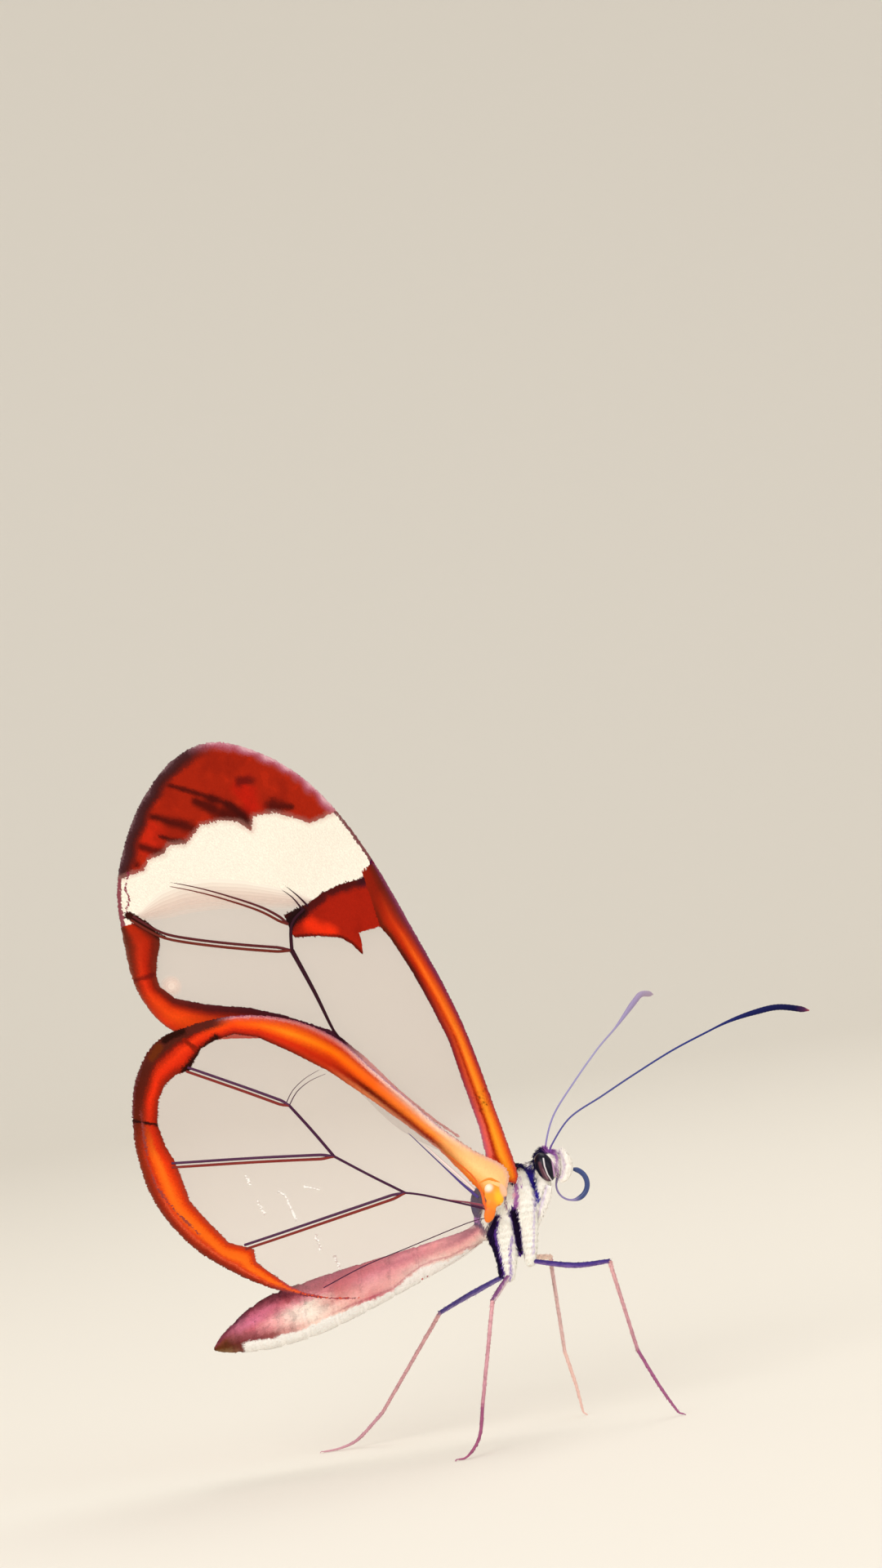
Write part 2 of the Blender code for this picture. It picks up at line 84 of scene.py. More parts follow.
CAMERA_PLACE = (1.475, -300.0, 35.49)
CAMERA_ROLL = math.atan(0.155)
FRAME_HEIGHT = 84.96
SENSOR = 36.0
camera_data = bpy.data.cameras.new("camera")
camera_data.sensor_width = SENSOR
camera_data.lens = SENSOR * -CAMERA_PLACE[1] / FRAME_HEIGHT
camera_data.clip_start = 0.02
camera = add_object("camera", camera_data)
across = Vector((math.cos(CAMERA_ROLL), 0, -math.sin(CAMERA_ROLL)))
upward = Vector((math.sin(CAMERA_ROLL), 0, math.cos(CAMERA_ROLL)))
turned = Matrix((across, upward, across.cross(upward))).transposed().to_4x4()
camera.matrix_world = Matrix.Translation(place(CAMERA_PLACE)) @ turned
scene.camera = camera

CARD_FRONT, CARD_BEND, CARD_RADIUS, CARD_TOP, CARD_HALF = -700.0, 340.0, 260.0, 1400.0, 1500.0
CARD_STEPS = 24


def new_finish(name, settings):
    """A material with these settings on its shader, with its nodes and links for wiring in more."""
    made = bpy.data.materials.new(name)
    made.use_nodes = True
    nodes, links = made.node_tree.nodes, made.node_tree.links
    shader = nodes["Principled BSDF"]
    for setting, value in settings.items():
        shader.inputs[setting].default_value = value
    return made, nodes, links, shader


profile = [(CARD_FRONT, 0.0)]
for i in range(CARD_STEPS + 1):
    turn = math.pi / 2 * i / CARD_STEPS
    profile.append((CARD_BEND + CARD_RADIUS * math.sin(turn), CARD_RADIUS * (1 - math.cos(turn))))
profile.append((CARD_BEND + CARD_RADIUS, CARD_TOP))
card_points = [(x * MM, y * MM, z * MM) for y, z in profile for x in (-CARD_HALF, CARD_HALF)]
card_faces = [(2 * i, 2 * i + 1, 2 * i + 3, 2 * i + 2) for i in range(len(profile) - 1)]
card_mesh = bpy.data.meshes.new("card")
card_mesh.from_pydata(card_points, [], card_faces)
card_mesh.shade_smooth()
card_paper = new_finish("card_paper", {"Base Color": (*rgb("eee8dd"), 1.0), "Roughness": 0.9})[0]
card_mesh.materials.append(card_paper)
card = add_object("card", card_mesh)


def soft_box(name, location, aim, size, power, colour):
    data = bpy.data.lights.new(name, "AREA")
    data.shape = "RECTANGLE"
    data.size, data.size_y = (s * MM for s in size)
    data.energy = power
    data.color = colour
    lamp = add_object(name, data)
    lamp.location = place(location)
    lamp.rotation_euler = (Vector(place(aim)) - lamp.location).to_track_quat("-Z", "Y").to_euler()


MIDDLE = (-3.0, 0.0, 18.0)
soft_box("key_box", (-170.0, -330.0, 230.0), MIDDLE, (260.0, 260.0), 0.74, (1.0, 0.985, 0.96))
soft_box("fill_box", (300.0, -220.0, 90.0), MIDDLE, (240.0, 240.0), 0.28, (0.95, 0.97, 1.0))
soft_box("top_box", (60.0, 120.0, 340.0), MIDDLE, (220.0, 220.0), 0.36, (1.0, 0.98, 0.95))
world = bpy.data.worlds.new("studio_air")
world.use_nodes = True
world.node_tree.nodes["Background"].inputs["Color"].default_value = (1.0, 0.98, 0.95, 1.0)
world.node_tree.nodes["Background"].inputs["Strength"].default_value = 0.68
scene.world = world
scene.view_settings.view_transform = "Standard"

# The body: head, thorax, abdomen and the four hip segments are one skin, as in the living animal, with
# the abdomen pinched between its rings. The forms are set as balls along each part, melted into one.
THORAX = [
    (0.06, 11.34, 0.46, 0.56), (0.26, 11.72, 0.8, 1.02), (0.94, 12.14, 1.18, 1.44),
    (1.54, 12.67, 1.3, 1.66), (2.05, 13.13, 1.18, 1.46), (2.4, 13.44, 0.92, 1.06),
    (2.7, 13.74, 0.58, 0.62), (3.05, 14.02, 0.5, 0.5), (3.6, 14.15, 0.42, 0.5),
]
ABDOMEN = [
    (-15.2, 7.15, 0.16), (-14.8, 7.3, 0.44), (-14.2, 7.5, 0.76), (-13.3, 7.78, 1.12),
    (-12.3, 8.02, 1.38), (-11.3, 8.22, 1.48), (-9.6, 8.52, 1.5), (-7.6, 8.98, 1.38), (-5.4, 9.52, 1.15),
    (-3.4, 10.05, 0.92), (-2.2, 10.38, 0.78), (-1.25, 10.68, 0.64), (-0.5, 11.0, 0.56),
    (0.2, 11.45, 0.6),
]
ABDOMEN_WIDTH = 0.76
RINGS = (-14.05, -12.9, -11.6, -10.1, -8.5, -6.9, -5.3, -3.7)
RING_DEPTH, RING_REACH = 0.06, 0.30
CHEST = [
    (3.7, 13.45, 0.5, 0.4), (3.48, 12.95, 0.62, 0.46), (3.2, 12.4, 0.74, 0.48),
    (2.92, 11.85, 0.76, 0.42), (2.62, 11.3, 0.7, 0.3),
]
HIPS = {
    "mid": [
        (2.46, 12.9, 0.62, 0.56), (2.44, 12.0, 0.78, 0.6), (2.5, 11.2, 0.84, 0.5),
        (2.42, 10.2, 0.9, 0.4), (2.32, 9.35, 0.95, 0.27),
    ],
    "hind": [
        (1.12, 11.6, 0.72, 0.62), (1.16, 10.6, 0.8, 0.54), (1.15, 9.6, 0.9, 0.46),
        (1.06, 8.75, 0.95, 0.32),
    ],
    "between": [
        (1.85, 11.7, 0.62, 0.34), (1.85, 10.9, 0.7, 0.28), (1.85, 10.2, 0.78, 0.2),
        (1.82, 9.85, 0.84, 0.12),
    ],
    "rear": [
        (0.72, 11.5, 0.6, 0.32), (0.52, 11.0, 0.62, 0.34), (0.68, 10.3, 0.72, 0.29),
        (0.77, 9.5, 0.82, 0.25), (0.74, 8.9, 0.9, 0.22),
    ],
}
# Crown, face, rump, and the two lobes that carry the wing roots, each with its centre and half sizes.
LOBES = [
    ((3.95, 0, 14.28), (0.62, 0.62, 0.84)), ((4.42, 0, 14.22), (0.42, 0.5, 0.74)),
    ((0.18, 0, 12.6), (0.6, 0.86, 0.98)),
    ((0.86, -1.6, 13.0), (0.44, 0.44, 0.62)), ((0.86, 1.6, 13.0), (0.44, 0.44, 0.62)),
]
BALL_SPACING = 0.16
SKIN_VOXEL, SKIN_ROUNDS = 0.055, 3


def smooth_line(points, spacing, loop=False):
    """Points at about even spacing on a smooth curve through the given ones."""
    points = np.asarray(points, float)
    count = len(points)
    curve = []
    for i in range(count if loop else count - 1):
        picks = [(i + k) % count if loop else min(max(i + k, 0), count - 1) for k in (-1, 0, 1, 2)]
        p0, p1, p2, p3 = points[picks]
        steps = max(1, round(float(np.linalg.norm((p2 - p1)[:3])) / spacing))
        for t in np.arange(steps) / steps:
            curve.append(
                0.5 * (2 * p1 + (p2 - p0) * t + (2 * p0 - 5 * p1 + 4 * p2 - p3) * t**2
                       + (3 * p1 - p0 - 3 * p2 + p3) * t**3)
            )
    if not loop:
        curve.append(points[-1])
    return np.array(curve)


def ease(value):
    t = np.clip(value, 0.0, 1.0)
    return t * t * (3 - 2 * t)


def between(value, low, high):
    return ease((value - low) / (high - low))


def peak(value, middle, reach):
    """1 in the middle, and falling away to nothing over about twice the reach on either side."""
    return np.exp(-(((value - middle) / reach) ** 2))


def read_off(x, stations, column=1):
    """A table's value at each x, between its stations."""
    table = np.array(stations)
    return np.interp(x, table[:, 0], table[:, column])


def blend(colours, other, amount):
    """Colours moved towards a shade or other colours, by the amount at each point."""
    other = rgb(other) if isinstance(other, str) else other
    return colours + (other - colours) * amount[:, None]


def ball(centre, size):
    bpy.ops.mesh.primitive_uv_sphere_add(segments=28, ring_count=16, radius=1, location=centre, scale=size)
    return bpy.context.object


def melted(forms, name, voxel, rounds):
    """Joins forms into one closed skin, softened by so many rounds of smoothing."""
    for form in forms:
        form.select_set(True)
    bpy.ops.object.join()
    made = bpy.context.object
    made.name = made.data.name = name
    bpy.ops.object.transform_apply(location=True, rotation=True, scale=True)
    melt = made.modifiers.new("melt", "REMESH")
    melt.mode = "VOXEL"
    melt.voxel_size = voxel
    bpy.ops.object.modifier_apply(modifier="melt")
    soften = made.modifiers.new("soften", "SMOOTH")
    soften.factor, soften.iterations = 0.5, rounds
    bpy.ops.object.modifier_apply(modifier="soften")
    return made


def ring_pinch(x):
    """How much thinner the abdomen is at x, where one ring slides into the next."""
    pinch = 0.0
    for ring in RINGS:
        step = x - ring
        pinch = max(pinch, RING_DEPTH * max(0.0, 1 - abs(step) / RING_REACH)) if step > -0.05 else pinch
    return pinch


forms = []
for x, z, wide, high in smooth_line(THORAX, BALL_SPACING * 2):
    forms.append(ball((x, 0, z), (min(wide, high) * 0.8, wide, high)))
for x, z, high in smooth_line(ABDOMEN, BALL_SPACING):
    size = high - ring_pinch(x)
    forms.append(ball((x, 0, z), (min(0.3, size * 0.6), size * ABDOMEN_WIDTH, size)))
for x, z, wide, thick in smooth_line(CHEST, BALL_SPACING * 2):
    forms.append(ball((x, 0, z), (thick, wide, thick)))
for stations in HIPS.values():
    for x, z, y, thick in smooth_line(stations, BALL_SPACING * 2):
        for side in SIDES.values():
            forms.append(ball((x, side * y, z), (thick * 1.05, thick, thick)))
forms += [ball(centre, size) for centre, size in LOBES]
body = melted(forms, "body", SKIN_VOXEL, SKIN_ROUNDS)


def coordinates(mesh):
    """A mesh's points as one array."""
    found = np.empty(len(mesh.vertices) * 3, np.float32)
    mesh.vertices.foreach_get("co", found)
    return found.reshape(-1, 3).astype(float)


def in_mm(piece):
    """A placed piece's points, back in the animal's frame."""
    return (coordinates(piece.data) - ORIGIN) / MM


def settle(piece, points):
    """Moves a mesh's points, in mm, to their places, with its object at the scene's origin."""
    piece.matrix_world = Matrix.Identity(4)
    piece.data.vertices.foreach_set("co", place(points).astype(np.float32).ravel())
    piece.data.update()
    piece.data.shade_smooth()


body_points = coordinates(body.data)


def from_line(points, line):
    """Each point's distance from a line of straight steps, and how far along it lies, 0 to 1."""
    best = np.full(len(points), 1e9)
    share = np.zeros(len(points))
    for i in range(len(line) - 1):
        step = line[i + 1] - line[i]
        t = np.clip((points - line[i]) @ step / max(step @ step, 1e-12), 0, 1)
        distance = np.linalg.norm(points - line[i] - t[:, None] * step, axis=1)
        nearer = distance < best
        best = np.where(nearer, distance, best)
        share = np.where(nearer, (i + t) / (len(line) - 1), share)
    return best, share


def speckle(points, size, seed):
    """A soft random pattern from about -1 to 1, with patches of the given size in mm."""
    shift = Vector((seed * 7.3, seed * 3.1, seed * 5.7))
    wide = np.zeros((len(points), 3))
    wide[:, :points.shape[1]] = points
    return np.array([noise.noise(Vector(p) / size + shift) for p in wide])


def stroke(colours, points, shade, line, widths, soft=0.06):
    """Paints a line over the colours, its half width running from the first of widths to the second."""
    distance, share = from_line(points, np.asarray(line, float))
    half = widths[0] + (widths[1] - widths[0]) * share
    amount = 1 - between(distance, half - soft, half + soft)
    return blend(colours, shade, amount)


# Colours of the body's hair and scales, as lines seen from the side, alike on both sides. Each line has
# its colour, its points (x, z) and its half width at either end.
BODY_STROKES = [
    ("33205c", [(0.15, 13.3), (-0.2, 12.6), (-0.25, 11.9), (0.0, 11.3)], (0.36, 0.24)),
    ("1a1240", [(-0.26, 13.32), (-0.1, 13.2)], (0.16, 0.14)),
    ("232a60", [(-0.38, 12.53), (-0.15, 12.5)], (0.14, 0.12)),
    ("a868b0", [(-0.36, 11.97), (-0.15, 11.9)], (0.12, 0.1)),
    ("d9c8ea", [(3.03, 13.3), (2.98, 12.5), (2.84, 11.5), (2.75, 10.9), (2.55, 9.7)], (0.03, 0.03)),
    ("b473b4", [(2.2, 13.62), (2.13, 13.25), (2.13, 12.9), (2.02, 12.5)], (0.1, 0.15)),
    ("f0a8c0", [(2.02, 13.15), (2.0, 12.95)], (0.06, 0.05)),
    ("8d3f78", [(1.5, 13.2), (1.5, 12.8), (1.52, 12.45)], (0.05, 0.05)),
    ("6c2a78", [(1.88, 12.38), (1.98, 12.12), (1.86, 11.95)], (0.13, 0.1)),
    ("b070c0", [(2.4, 13.86), (2.43, 13.78)], (0.06, 0.05)),
    ("b070c0", [(2.44, 13.52), (2.46, 13.42)], (0.05, 0.05)),
    ("2a0f3e", [(1.98, 13.72), (2.12, 13.7)], (0.1, 0.08)),
    ("5d3596", [(1.82, 12.15), (1.86, 11.3), (1.84, 10.5), (1.88, 9.7)], (0.27, 0.16)),
    ("150726", [(1.82, 12.15), (1.87, 11.7), (1.84, 11.1), (1.84, 10.5), (1.84, 10.0)], (0.22, 0.14)),
    ("9f7cc8", [(1.56, 10.87), (1.33, 10.16), (1.2, 9.0), (1.05, 8.4)], (0.05, 0.05)),
    ("5d3596", [(0.86, 12.05), (0.62, 11.3), (0.6, 10.8), (0.64, 10.3), (0.72, 9.5), (0.72, 8.6)],
     (0.22, 0.13)),
    ("190a30", [(0.8, 12.05), (0.44, 11.4), (0.38, 11.0), (0.48, 10.3), (0.6, 9.5), (0.6, 8.6)],
     (0.24, 0.14)),
    ("2e2096", [(2.97, 14.25), (3.08, 13.72), (3.13, 13.15), (3.27, 12.5)], (0.24, 0.1)),
    ("7a5fc8", [(3.13, 12.91), (3.08, 12.55), (2.98, 12.18)], (0.03, 0.02)),
    ("2b1f6c", [(2.56, 14.47), (2.9, 14.24), (3.25, 14.16)], (0.13, 0.12)),
    ("fffdf8", [(2.98, 14.5), (3.16, 14.62)], (0.15, 0.12)),
    ("2b1f6c", [(3.12, 14.86), (3.4, 15.05)], (0.16, 0.14)),
]
HEAD_STROKES = [
    ("17123c", [(3.3, 14.95), (3.8, 15.1), (4.15, 15.05)], (0.34, 0.22)),
    ("17123c", [(3.28, 14.75), (3.36, 14.4), (3.42, 14.1)], (0.18, 0.1)),
    ("9a58a8", [(4.04, 15.05), (4.2, 15.05), (4.38, 14.85)], (0.15, 0.12)),
    ("b87cc0", [(4.42, 15.0), (4.5, 14.7), (4.5, 14.2), (4.42, 13.65)], (0.07, 0.05)),
    ("b48cc8", [(4.55, 15.02), (4.74, 14.72), (4.8, 14.3), (4.72, 13.8), (4.44, 13.35)], (0.05, 0.05)),
]
BELLY_EDGE = [
    (-15.4, 7.05), (-13.58, 7.34), (-12.04, 7.34), (-10.62, 7.5), (-9.15, 7.9), (-7.66, 8.3),
    (-6.6, 8.5), (-5.94, 8.68), (-5.2, 8.85), (-4.4, 9.36), (-3.6, 9.8), (-2.8, 9.98), (-2.0, 10.05),
    (-0.9, 10.4),
]
THORAX_BACK = [(-0.4, 11.9), (0.6, 13.3), (1.6, 14.2), (2.3, 14.5), (2.9, 14.6)]
ABDOMEN_END = -0.1
ABDOMEN_RAMPS = [
    (-14.6, "-0.9 8a6a48, -0.4 5f3015, 0 5f2e18, 0.35 7a3a2c, 0.7 84424a, 1 7c3c4a"),
    (-13.8, "-0.9 845044, -0.6 6c302a, -0.3 702f30, 0 88464a, 0.35 b06070, 0.65 cc8092, 0.85 96586a, "
            "1 6e3348"),
    (-13.0, "-0.35 8c464a, -0.1 a4565e, 0.15 c2626e, 0.4 d8809a, 0.7 c47084, 0.88 8a4450, 1 66303c"),
    (-12.0, "-0.35 904848, -0.15 d48488, 0.1 eca6a8, 0.35 cc7684, 0.6 ce7c8e, 0.78 98525e, 1 623038"),
    (-11.0, "-0.35 dc9a94, -0.1 f3c4ba, 0.2 f8cec4, 0.4 eaa4a8, 0.6 b45e64, 0.78 7c3640, 1 6a3440"),
    (-9.8, "-0.5 f3ccbe, -0.1 fce0d0, 0.3 f8e2d4, 0.45 e6a8ac, 0.65 c06a76, 1 a05262"),
    (-8.2, "-0.45 f2cabc, -0.15 f0b8b0, 0.05 de8884, 0.3 cc666a, 0.6 c8646e, 1 a4546c"),
    (-6.4, "-0.45 d07880, -0.3 e09090, 0 e8a2a2, 0.4 e0909a, 0.7 c86a74, 1 b8626e"),
    (-4.4, "-0.6 f0c8c4, -0.3 f0b8b2, 0 e6a0a0, 0.3 e28f94, 0.6 cc7e8a, 0.8 e0989c, 1 be6478"),
    (-2.6, "-0.5 fadccc, -0.2 f4c0b4, 0.1 e89a96, 0.45 d88a8e, 0.8 ee9f9f, 1 d88696"),
    (-0.9, "-0.7 eecdc4, -0.3 ecb4ac, 0 ecaaa6, 0.25 d0808a, 0.5 a85e70, 1 b47080"),
]


def ramp(share, stops):
    """Colours along a row of stops, each written as its place and its colour."""
    places, shades = zip(*(stop.split() for stop in stops.split(", ")))
    channels = np.array([rgb(shade) for shade in shades]).T
    return np.column_stack([np.interp(share, np.array(places, float), channel) for channel in channels])


def banded(share, along, ramps):
    """Colours of a band: share runs across it, and along says where it lies between the ramps."""
    mixed = ramp(share, ramps[0][1])
    for (before, _), (after, stops) in zip(ramps, ramps[1:]):
        reach = np.clip((along - before) / (after - before), 0, 1)
        mixed = blend(mixed, ramp(share, stops), reach)
    return mixed


def body_colours(points):
    """The colour of hair and scales at each point of the body, in mm, with a painted highlight on the
    abdomen's side.
    """
    flat = points[:, [0, 2]]
    x, y, z = points.T
    blur = 0.05 * speckle(points, 0.25, 1)
    thorax = np.tile(rgb("fffaf0"), (len(points), 1))
    back = read_off(x, THORAX_BACK)
    over = between(z - back + blur * 3, -0.45, -0.15) * (1 - between(x, 2.6, 2.9))
    thorax = blend(thorax, "2b1a24", over)
    for shade, line, widths in BODY_STROKES + HEAD_STROKES:
        thorax = stroke(thorax, flat + 0.5 * blur[:, None], shade, line, widths)
    crown = between(z + 0.25 * np.abs(x - 3.75) + 3 * blur, 14.72, 14.82) * between(x, 2.9, 3.1)
    thorax = blend(thorax, "1c1440", crown * (1 - between(x, 3.9, 4.1)))
    axis = read_off(x, ABDOMEN)
    rise = (z - axis) / read_off(x, ABDOMEN, 2) + 1.6 * blur
    belly = np.minimum(1.15 * banded(rise, x + 2 * blur, ABDOMEN_RAMPS), 1)
    # Two soft pale spots halfway up the abdomen's side, where light falls on it: a painted highlight.
    painted_highlight = (peak(x, -9.9, 1.4) + peak(x, -3.3, 1.2)) * peak(rise, -0.12, 0.35)
    belly = blend(belly, "fff4ea", 0.5 * painted_highlight)
    edge = read_off(x, BELLY_EDGE)
    pale = between(edge - z - 3 * blur, -0.05, 0.08) * between(x, -13.75, -13.55)
    belly = blend(belly, "fffbf6", pale)
    belly = blend(belly, "c0566c", 0.6 * peak(z - edge, 0.12, 0.06) * between(x, -9.5, -7.5))
    blotch = between(speckle(points, 0.7, 6), 0.05, 0.45) + 0.7 * between(speckle(points, 0.22, 9), 0.1, 0.5)
    belly *= (1 - 0.26 * blotch * (1 - pale) * (0.5 + 0.5 * between(-x, 7.5, 10.5)))[:, None]
    for ring in RINGS:
        dark = peak(x - 0.05 * (z - axis), ring, 0.06) * between(rise, -0.6, 0.2)
        belly = blend(belly, "7a3a48", 0.35 * dark)
    above = (1 - pale) * between(rise, 0.2, 0.6) * between(-x, 2.0, 4.0)
    shaded = belly * (1 - np.outer(above, (0.06, 0.24, 0.17)))
    behind = between(-x, -0.35, 0.35) * (1 - between(z, 11.4, 11.75))
    return np.clip(blend(thorax, shaded, behind), 0, 1)


def dye(mesh, colours, domain="POINT"):
    """Stores a colour for each point or face corner, which the finish reads."""
    layer = mesh.color_attributes.new("dye", "FLOAT_COLOR", domain)
    stored = np.ones((len(colours), 4), np.float32)
    stored[:, :3] = colours
    layer.data.foreach_set("color", stored.ravel())


def add_node(nodes, kind, settings):
    made = nodes.new(kind)
    for setting, value in settings.items():
        made.inputs[setting].default_value = value
    return made


def on_piece(nodes, links, kind, settings):
    """A pattern node that lies on the piece's own coordinates."""
    made = add_node(nodes, kind, settings)
    links.new(nodes.new("ShaderNodeTexCoord").outputs["Object"], made.inputs["Vector"])
    return made


def dyed_finish(name, roughness, grain, bump, coat=0.0, specular=0.06):
    """A finish in the piece's own colours, with grain of that many patches to the mm."""
    settings = {"Coat Weight": coat, "Specular IOR Level": specular}
    made, nodes, links, shader = new_finish(name, settings)
    own = nodes.new("ShaderNodeAttribute")
    own.attribute_name = "dye"
    patches = on_piece(nodes, links, "ShaderNodeTexNoise", {"Scale": grain / MM, "Detail": 3.0})
    vary = add_node(nodes, "ShaderNodeMapRange", {"To Min": 0.93, "To Max": 1.09})
    tint = nodes.new("ShaderNodeVectorMath")
    tint.operation = "SCALE"
    rough = add_node(nodes, "ShaderNodeMapRange", {"To Min": roughness - 0.08, "To Max": roughness + 0.08})
    relief = add_node(nodes, "ShaderNodeBump", {"Strength": bump, "Distance": 0.05 * MM})
    links.new(patches.outputs["Fac"], vary.inputs["Value"])
    links.new(own.outputs["Color"], tint.inputs[0])
    links.new(vary.outputs["Result"], tint.inputs["Scale"])
    links.new(tint.outputs["Vector"], shader.inputs["Base Color"])
    links.new(patches.outputs["Fac"], rough.inputs["Value"])
    links.new(rough.outputs["Result"], shader.inputs["Roughness"])
    links.new(patches.outputs["Fac"], relief.inputs["Height"])
    links.new(relief.outputs["Normal"], shader.inputs["Normal"])
    return made


settle(body, body_points)
dye(body.data, body_colours(body_points))
SKIN_FINISH = dyed_finish("body_skin", 0.6, 12.0, 0.35)
body.data.materials.append(SKIN_FINISH)
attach(body, "root")
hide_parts("thorax", "prothorax", "abdomen", "head",
            "coxa_mid_left", "coxa_mid_right", "coxa_hind_left", "coxa_hind_right")

# The coat: thousands of small flat hairs and scales rooted in the skin, lying back and down along it.
# Each is a closed four-sided sliver, long on the thorax and head, and short as roof tiles on the abdomen.
TUFT_PATCH = 0.003
random = np.random.default_rng(7)


def tuft_mesh(name, root, left, right, tip, colours, patches):
    """One mesh of closed four-sided slivers, each with its own colour and its patch of the bake's map."""
    count = len(root)
    corners = np.stack([root, left, right, tip], 1)
    turn = np.linalg.det(np.stack([left - root, right - root, tip - root], 1)) > 0
    outward = np.array([[0, 2, 1], [0, 1, 3], [0, 3, 2], [1, 2, 3]])
    inward = outward[:, ::-1]
    faces = np.where(turn[:, None, None], outward, inward) + 4 * np.arange(count)[:, None, None]
    mesh = bpy.data.meshes.new(name)
    mesh.vertices.add(4 * count)
    mesh.vertices.foreach_set("co", place(corners.reshape(-1, 3)).astype(np.float32).ravel())
    mesh.loops.add(12 * count)
    mesh.loops.foreach_set("vertex_index", faces.astype(np.int32).ravel())
    mesh.polygons.add(4 * count)
    mesh.polygons.foreach_set("loop_start", np.arange(0, 12 * count, 3, dtype=np.int32))
    mesh.update(calc_edges=True)
    mesh.shade_flat()
    dye(mesh, np.repeat(colours, 4, axis=0))
    spots = np.array([[0, 0], [-0.5, 0.5], [0.5, 0.5], [0, 1]]) * TUFT_PATCH
    chart = mesh.uv_layers.new(name="OFBake")
    spread = (patches[:, None, :] + spots)[np.arange(count)[:, None], (faces % 4).reshape(count, 12)]
    chart.data.foreach_set("uv", spread.astype(np.float32).ravel())
    return add_object(name, mesh)


def scatter(piece, density):
    """Random places on a mesh at so many to the square mm, with the surface's normal there, in mm."""
    mesh = piece.data
    mesh.calc_loop_triangles()
    corners = np.empty(len(mesh.loop_triangles) * 3, np.int32)
    mesh.loop_triangles.foreach_get("vertices", corners)
    points = in_mm(piece)
    normals = np.empty(len(mesh.vertices) * 3, np.float32)
    mesh.vertices.foreach_get("normal", normals)
    a, b, c = corners.reshape(-1, 3).T
    area = np.linalg.norm(np.cross(points[b] - points[a], points[c] - points[a]), axis=1) / 2
    count = int(area.sum() * density)
    pick = np.searchsorted(np.cumsum(area), random.random(count) * area.sum())
    pick = np.minimum(pick, len(area) - 1)
    s, t = random.random((2, count))
    fold = s + t > 1
    s, t = np.where(fold, 1 - s, s), np.where(fold, 1 - t, t)
    weights = np.stack([1 - s - t, s, t], 1)
    chosen = np.stack([a, b, c], 1)[pick]
    normals = normals.reshape(-1, 3).astype(float)[chosen]
    normal = (normals * weights[:, :, None]).sum(1)
    spot = (points[chosen] * weights[:, :, None]).sum(1)
    return spot, normal / np.linalg.norm(normal, axis=1)[:, None]


def coat(name, spot, normal, lie, length, width, lift, colours, patches):
    """Tufts lying over a surface: lie is their direction, lift how far the tips stand off it."""
    lie = lie - normal * (lie * normal).sum(1)[:, None]
    lie /= np.maximum(np.linalg.norm(lie, axis=1), 1e-9)[:, None]
    lie += 0.25 * random.normal(size=lie.shape)
    lie -= normal * (lie * normal).sum(1)[:, None]
    lie /= np.maximum(np.linalg.norm(lie, axis=1), 1e-9)[:, None]
    beside = np.cross(normal, lie)
    length, width, lift = (np.asarray(v)[:, None] for v in (length, width, lift))
    root = spot - normal * 0.02
    middle = spot + lie * length * 0.5 + normal * lift * 0.3
    tip = spot + lie * length + normal * lift
    half = beside * width / 2
    return tuft_mesh(name, root, middle - half, middle + half, tip, colours, patches)


def trunk_chart(points):
    """The trunk's skin unrolled: along its length by the turn round it."""
    x, y, z = points.T
    axis = np.where(x > 0.2, read_off(x, THORAX), read_off(x, ABDOMEN))
    turn = np.arctan2(y, z - axis) / (2 * math.pi) + 0.5
    along = (x + 15.5) / 21.5
    return np.stack([0.01 + 0.97 * along, 0.01 + 0.97 * turn], 1)


HAIR_DENSITY = 300
spot, normal = scatter(body, HAIR_DENSITY)
on_abdomen = spot[:, 0] < ABDOMEN_END
clear_of_eyes = (spot[:, 0] < 3.30) | (np.abs(spot[:, 1]) < 0.42) | (spot[:, 0] > 4.42) | (spot[:, 2] < 13.3)
for name, chosen in (("abdomen_scales", on_abdomen), ("body_hair", ~on_abdomen & clear_of_eyes)):
    p, n = spot[chosen], normal[chosen]
    count = len(p)
    size = random.uniform(0.75, 1.25, count)
    shades = np.clip(body_colours(p) * random.uniform(0.92, 1.06, (count, 1)), 0, 1)
    if name == "abdomen_scales":
        lie = np.tile([-1.0, 0.0, -0.25], (count, 1))
        made = coat(name, p, n, lie, 0.15 * size, 0.07 * size, 0.02 * size, shades, trunk_chart(p))
    else:
        top = p[:, 2] > 14.6
        lie = np.stack([-0.35 - 0.5 * top, np.zeros(count), -1.0 + 1.3 * top], 1)
        lie[p[:, 0] > 4.2] = (0.25, 0.0, -1.0)
        long = np.where(p[:, 0] > 3.3, 0.20, 0.26) * size
        crown = (p[:, 2] > 14.75) & (p[:, 0] < 4.3)
        lift = np.where(crown, 0.17, np.where(p[:, 2] > 14.0, 0.08, 0.03)) * size
        made = coat(name, p, n, lie, long, 0.055 * size, lift, shades, trunk_chart(p))
    made.data.materials.append(SKIN_FINISH)
    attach(made, "root")

# The eyes: two deep brown domes of tiny facets, glossy, near black in front, with a pale crescent line
# down the middle and a painted mauve reflection behind it.
EYE_CENTRE, EYE_SIZE, EYE_SIDE, EYE_TILT = (3.86, 14.16), (0.50, 0.60, 0.84), 0.56, 17.0
# Lines on the eyes: a painted mauve reflection with its paler core, the pale crescent, and a lilac line near
# the front.
EYE_LINES_AND_GLINTS = [
    ("5c3844", [(3.6, 14.45), (3.64, 14.2), (3.76, 13.75), (3.88, 13.45)], (0.08, 0.13)),
    ("8a6470", [(3.72, 14.1), (3.82, 13.75), (3.9, 13.55)], (0.02, 0.05)),
    ("fff8fa", [(3.84, 14.66), (3.84, 14.25), (3.93, 13.79), (4.1, 13.4)], (0.028, 0.022)),
    ("caa0c4", [(4.3, 14.6), (4.31, 14.1), (4.3, 13.6)], (0.05, 0.05)),
]


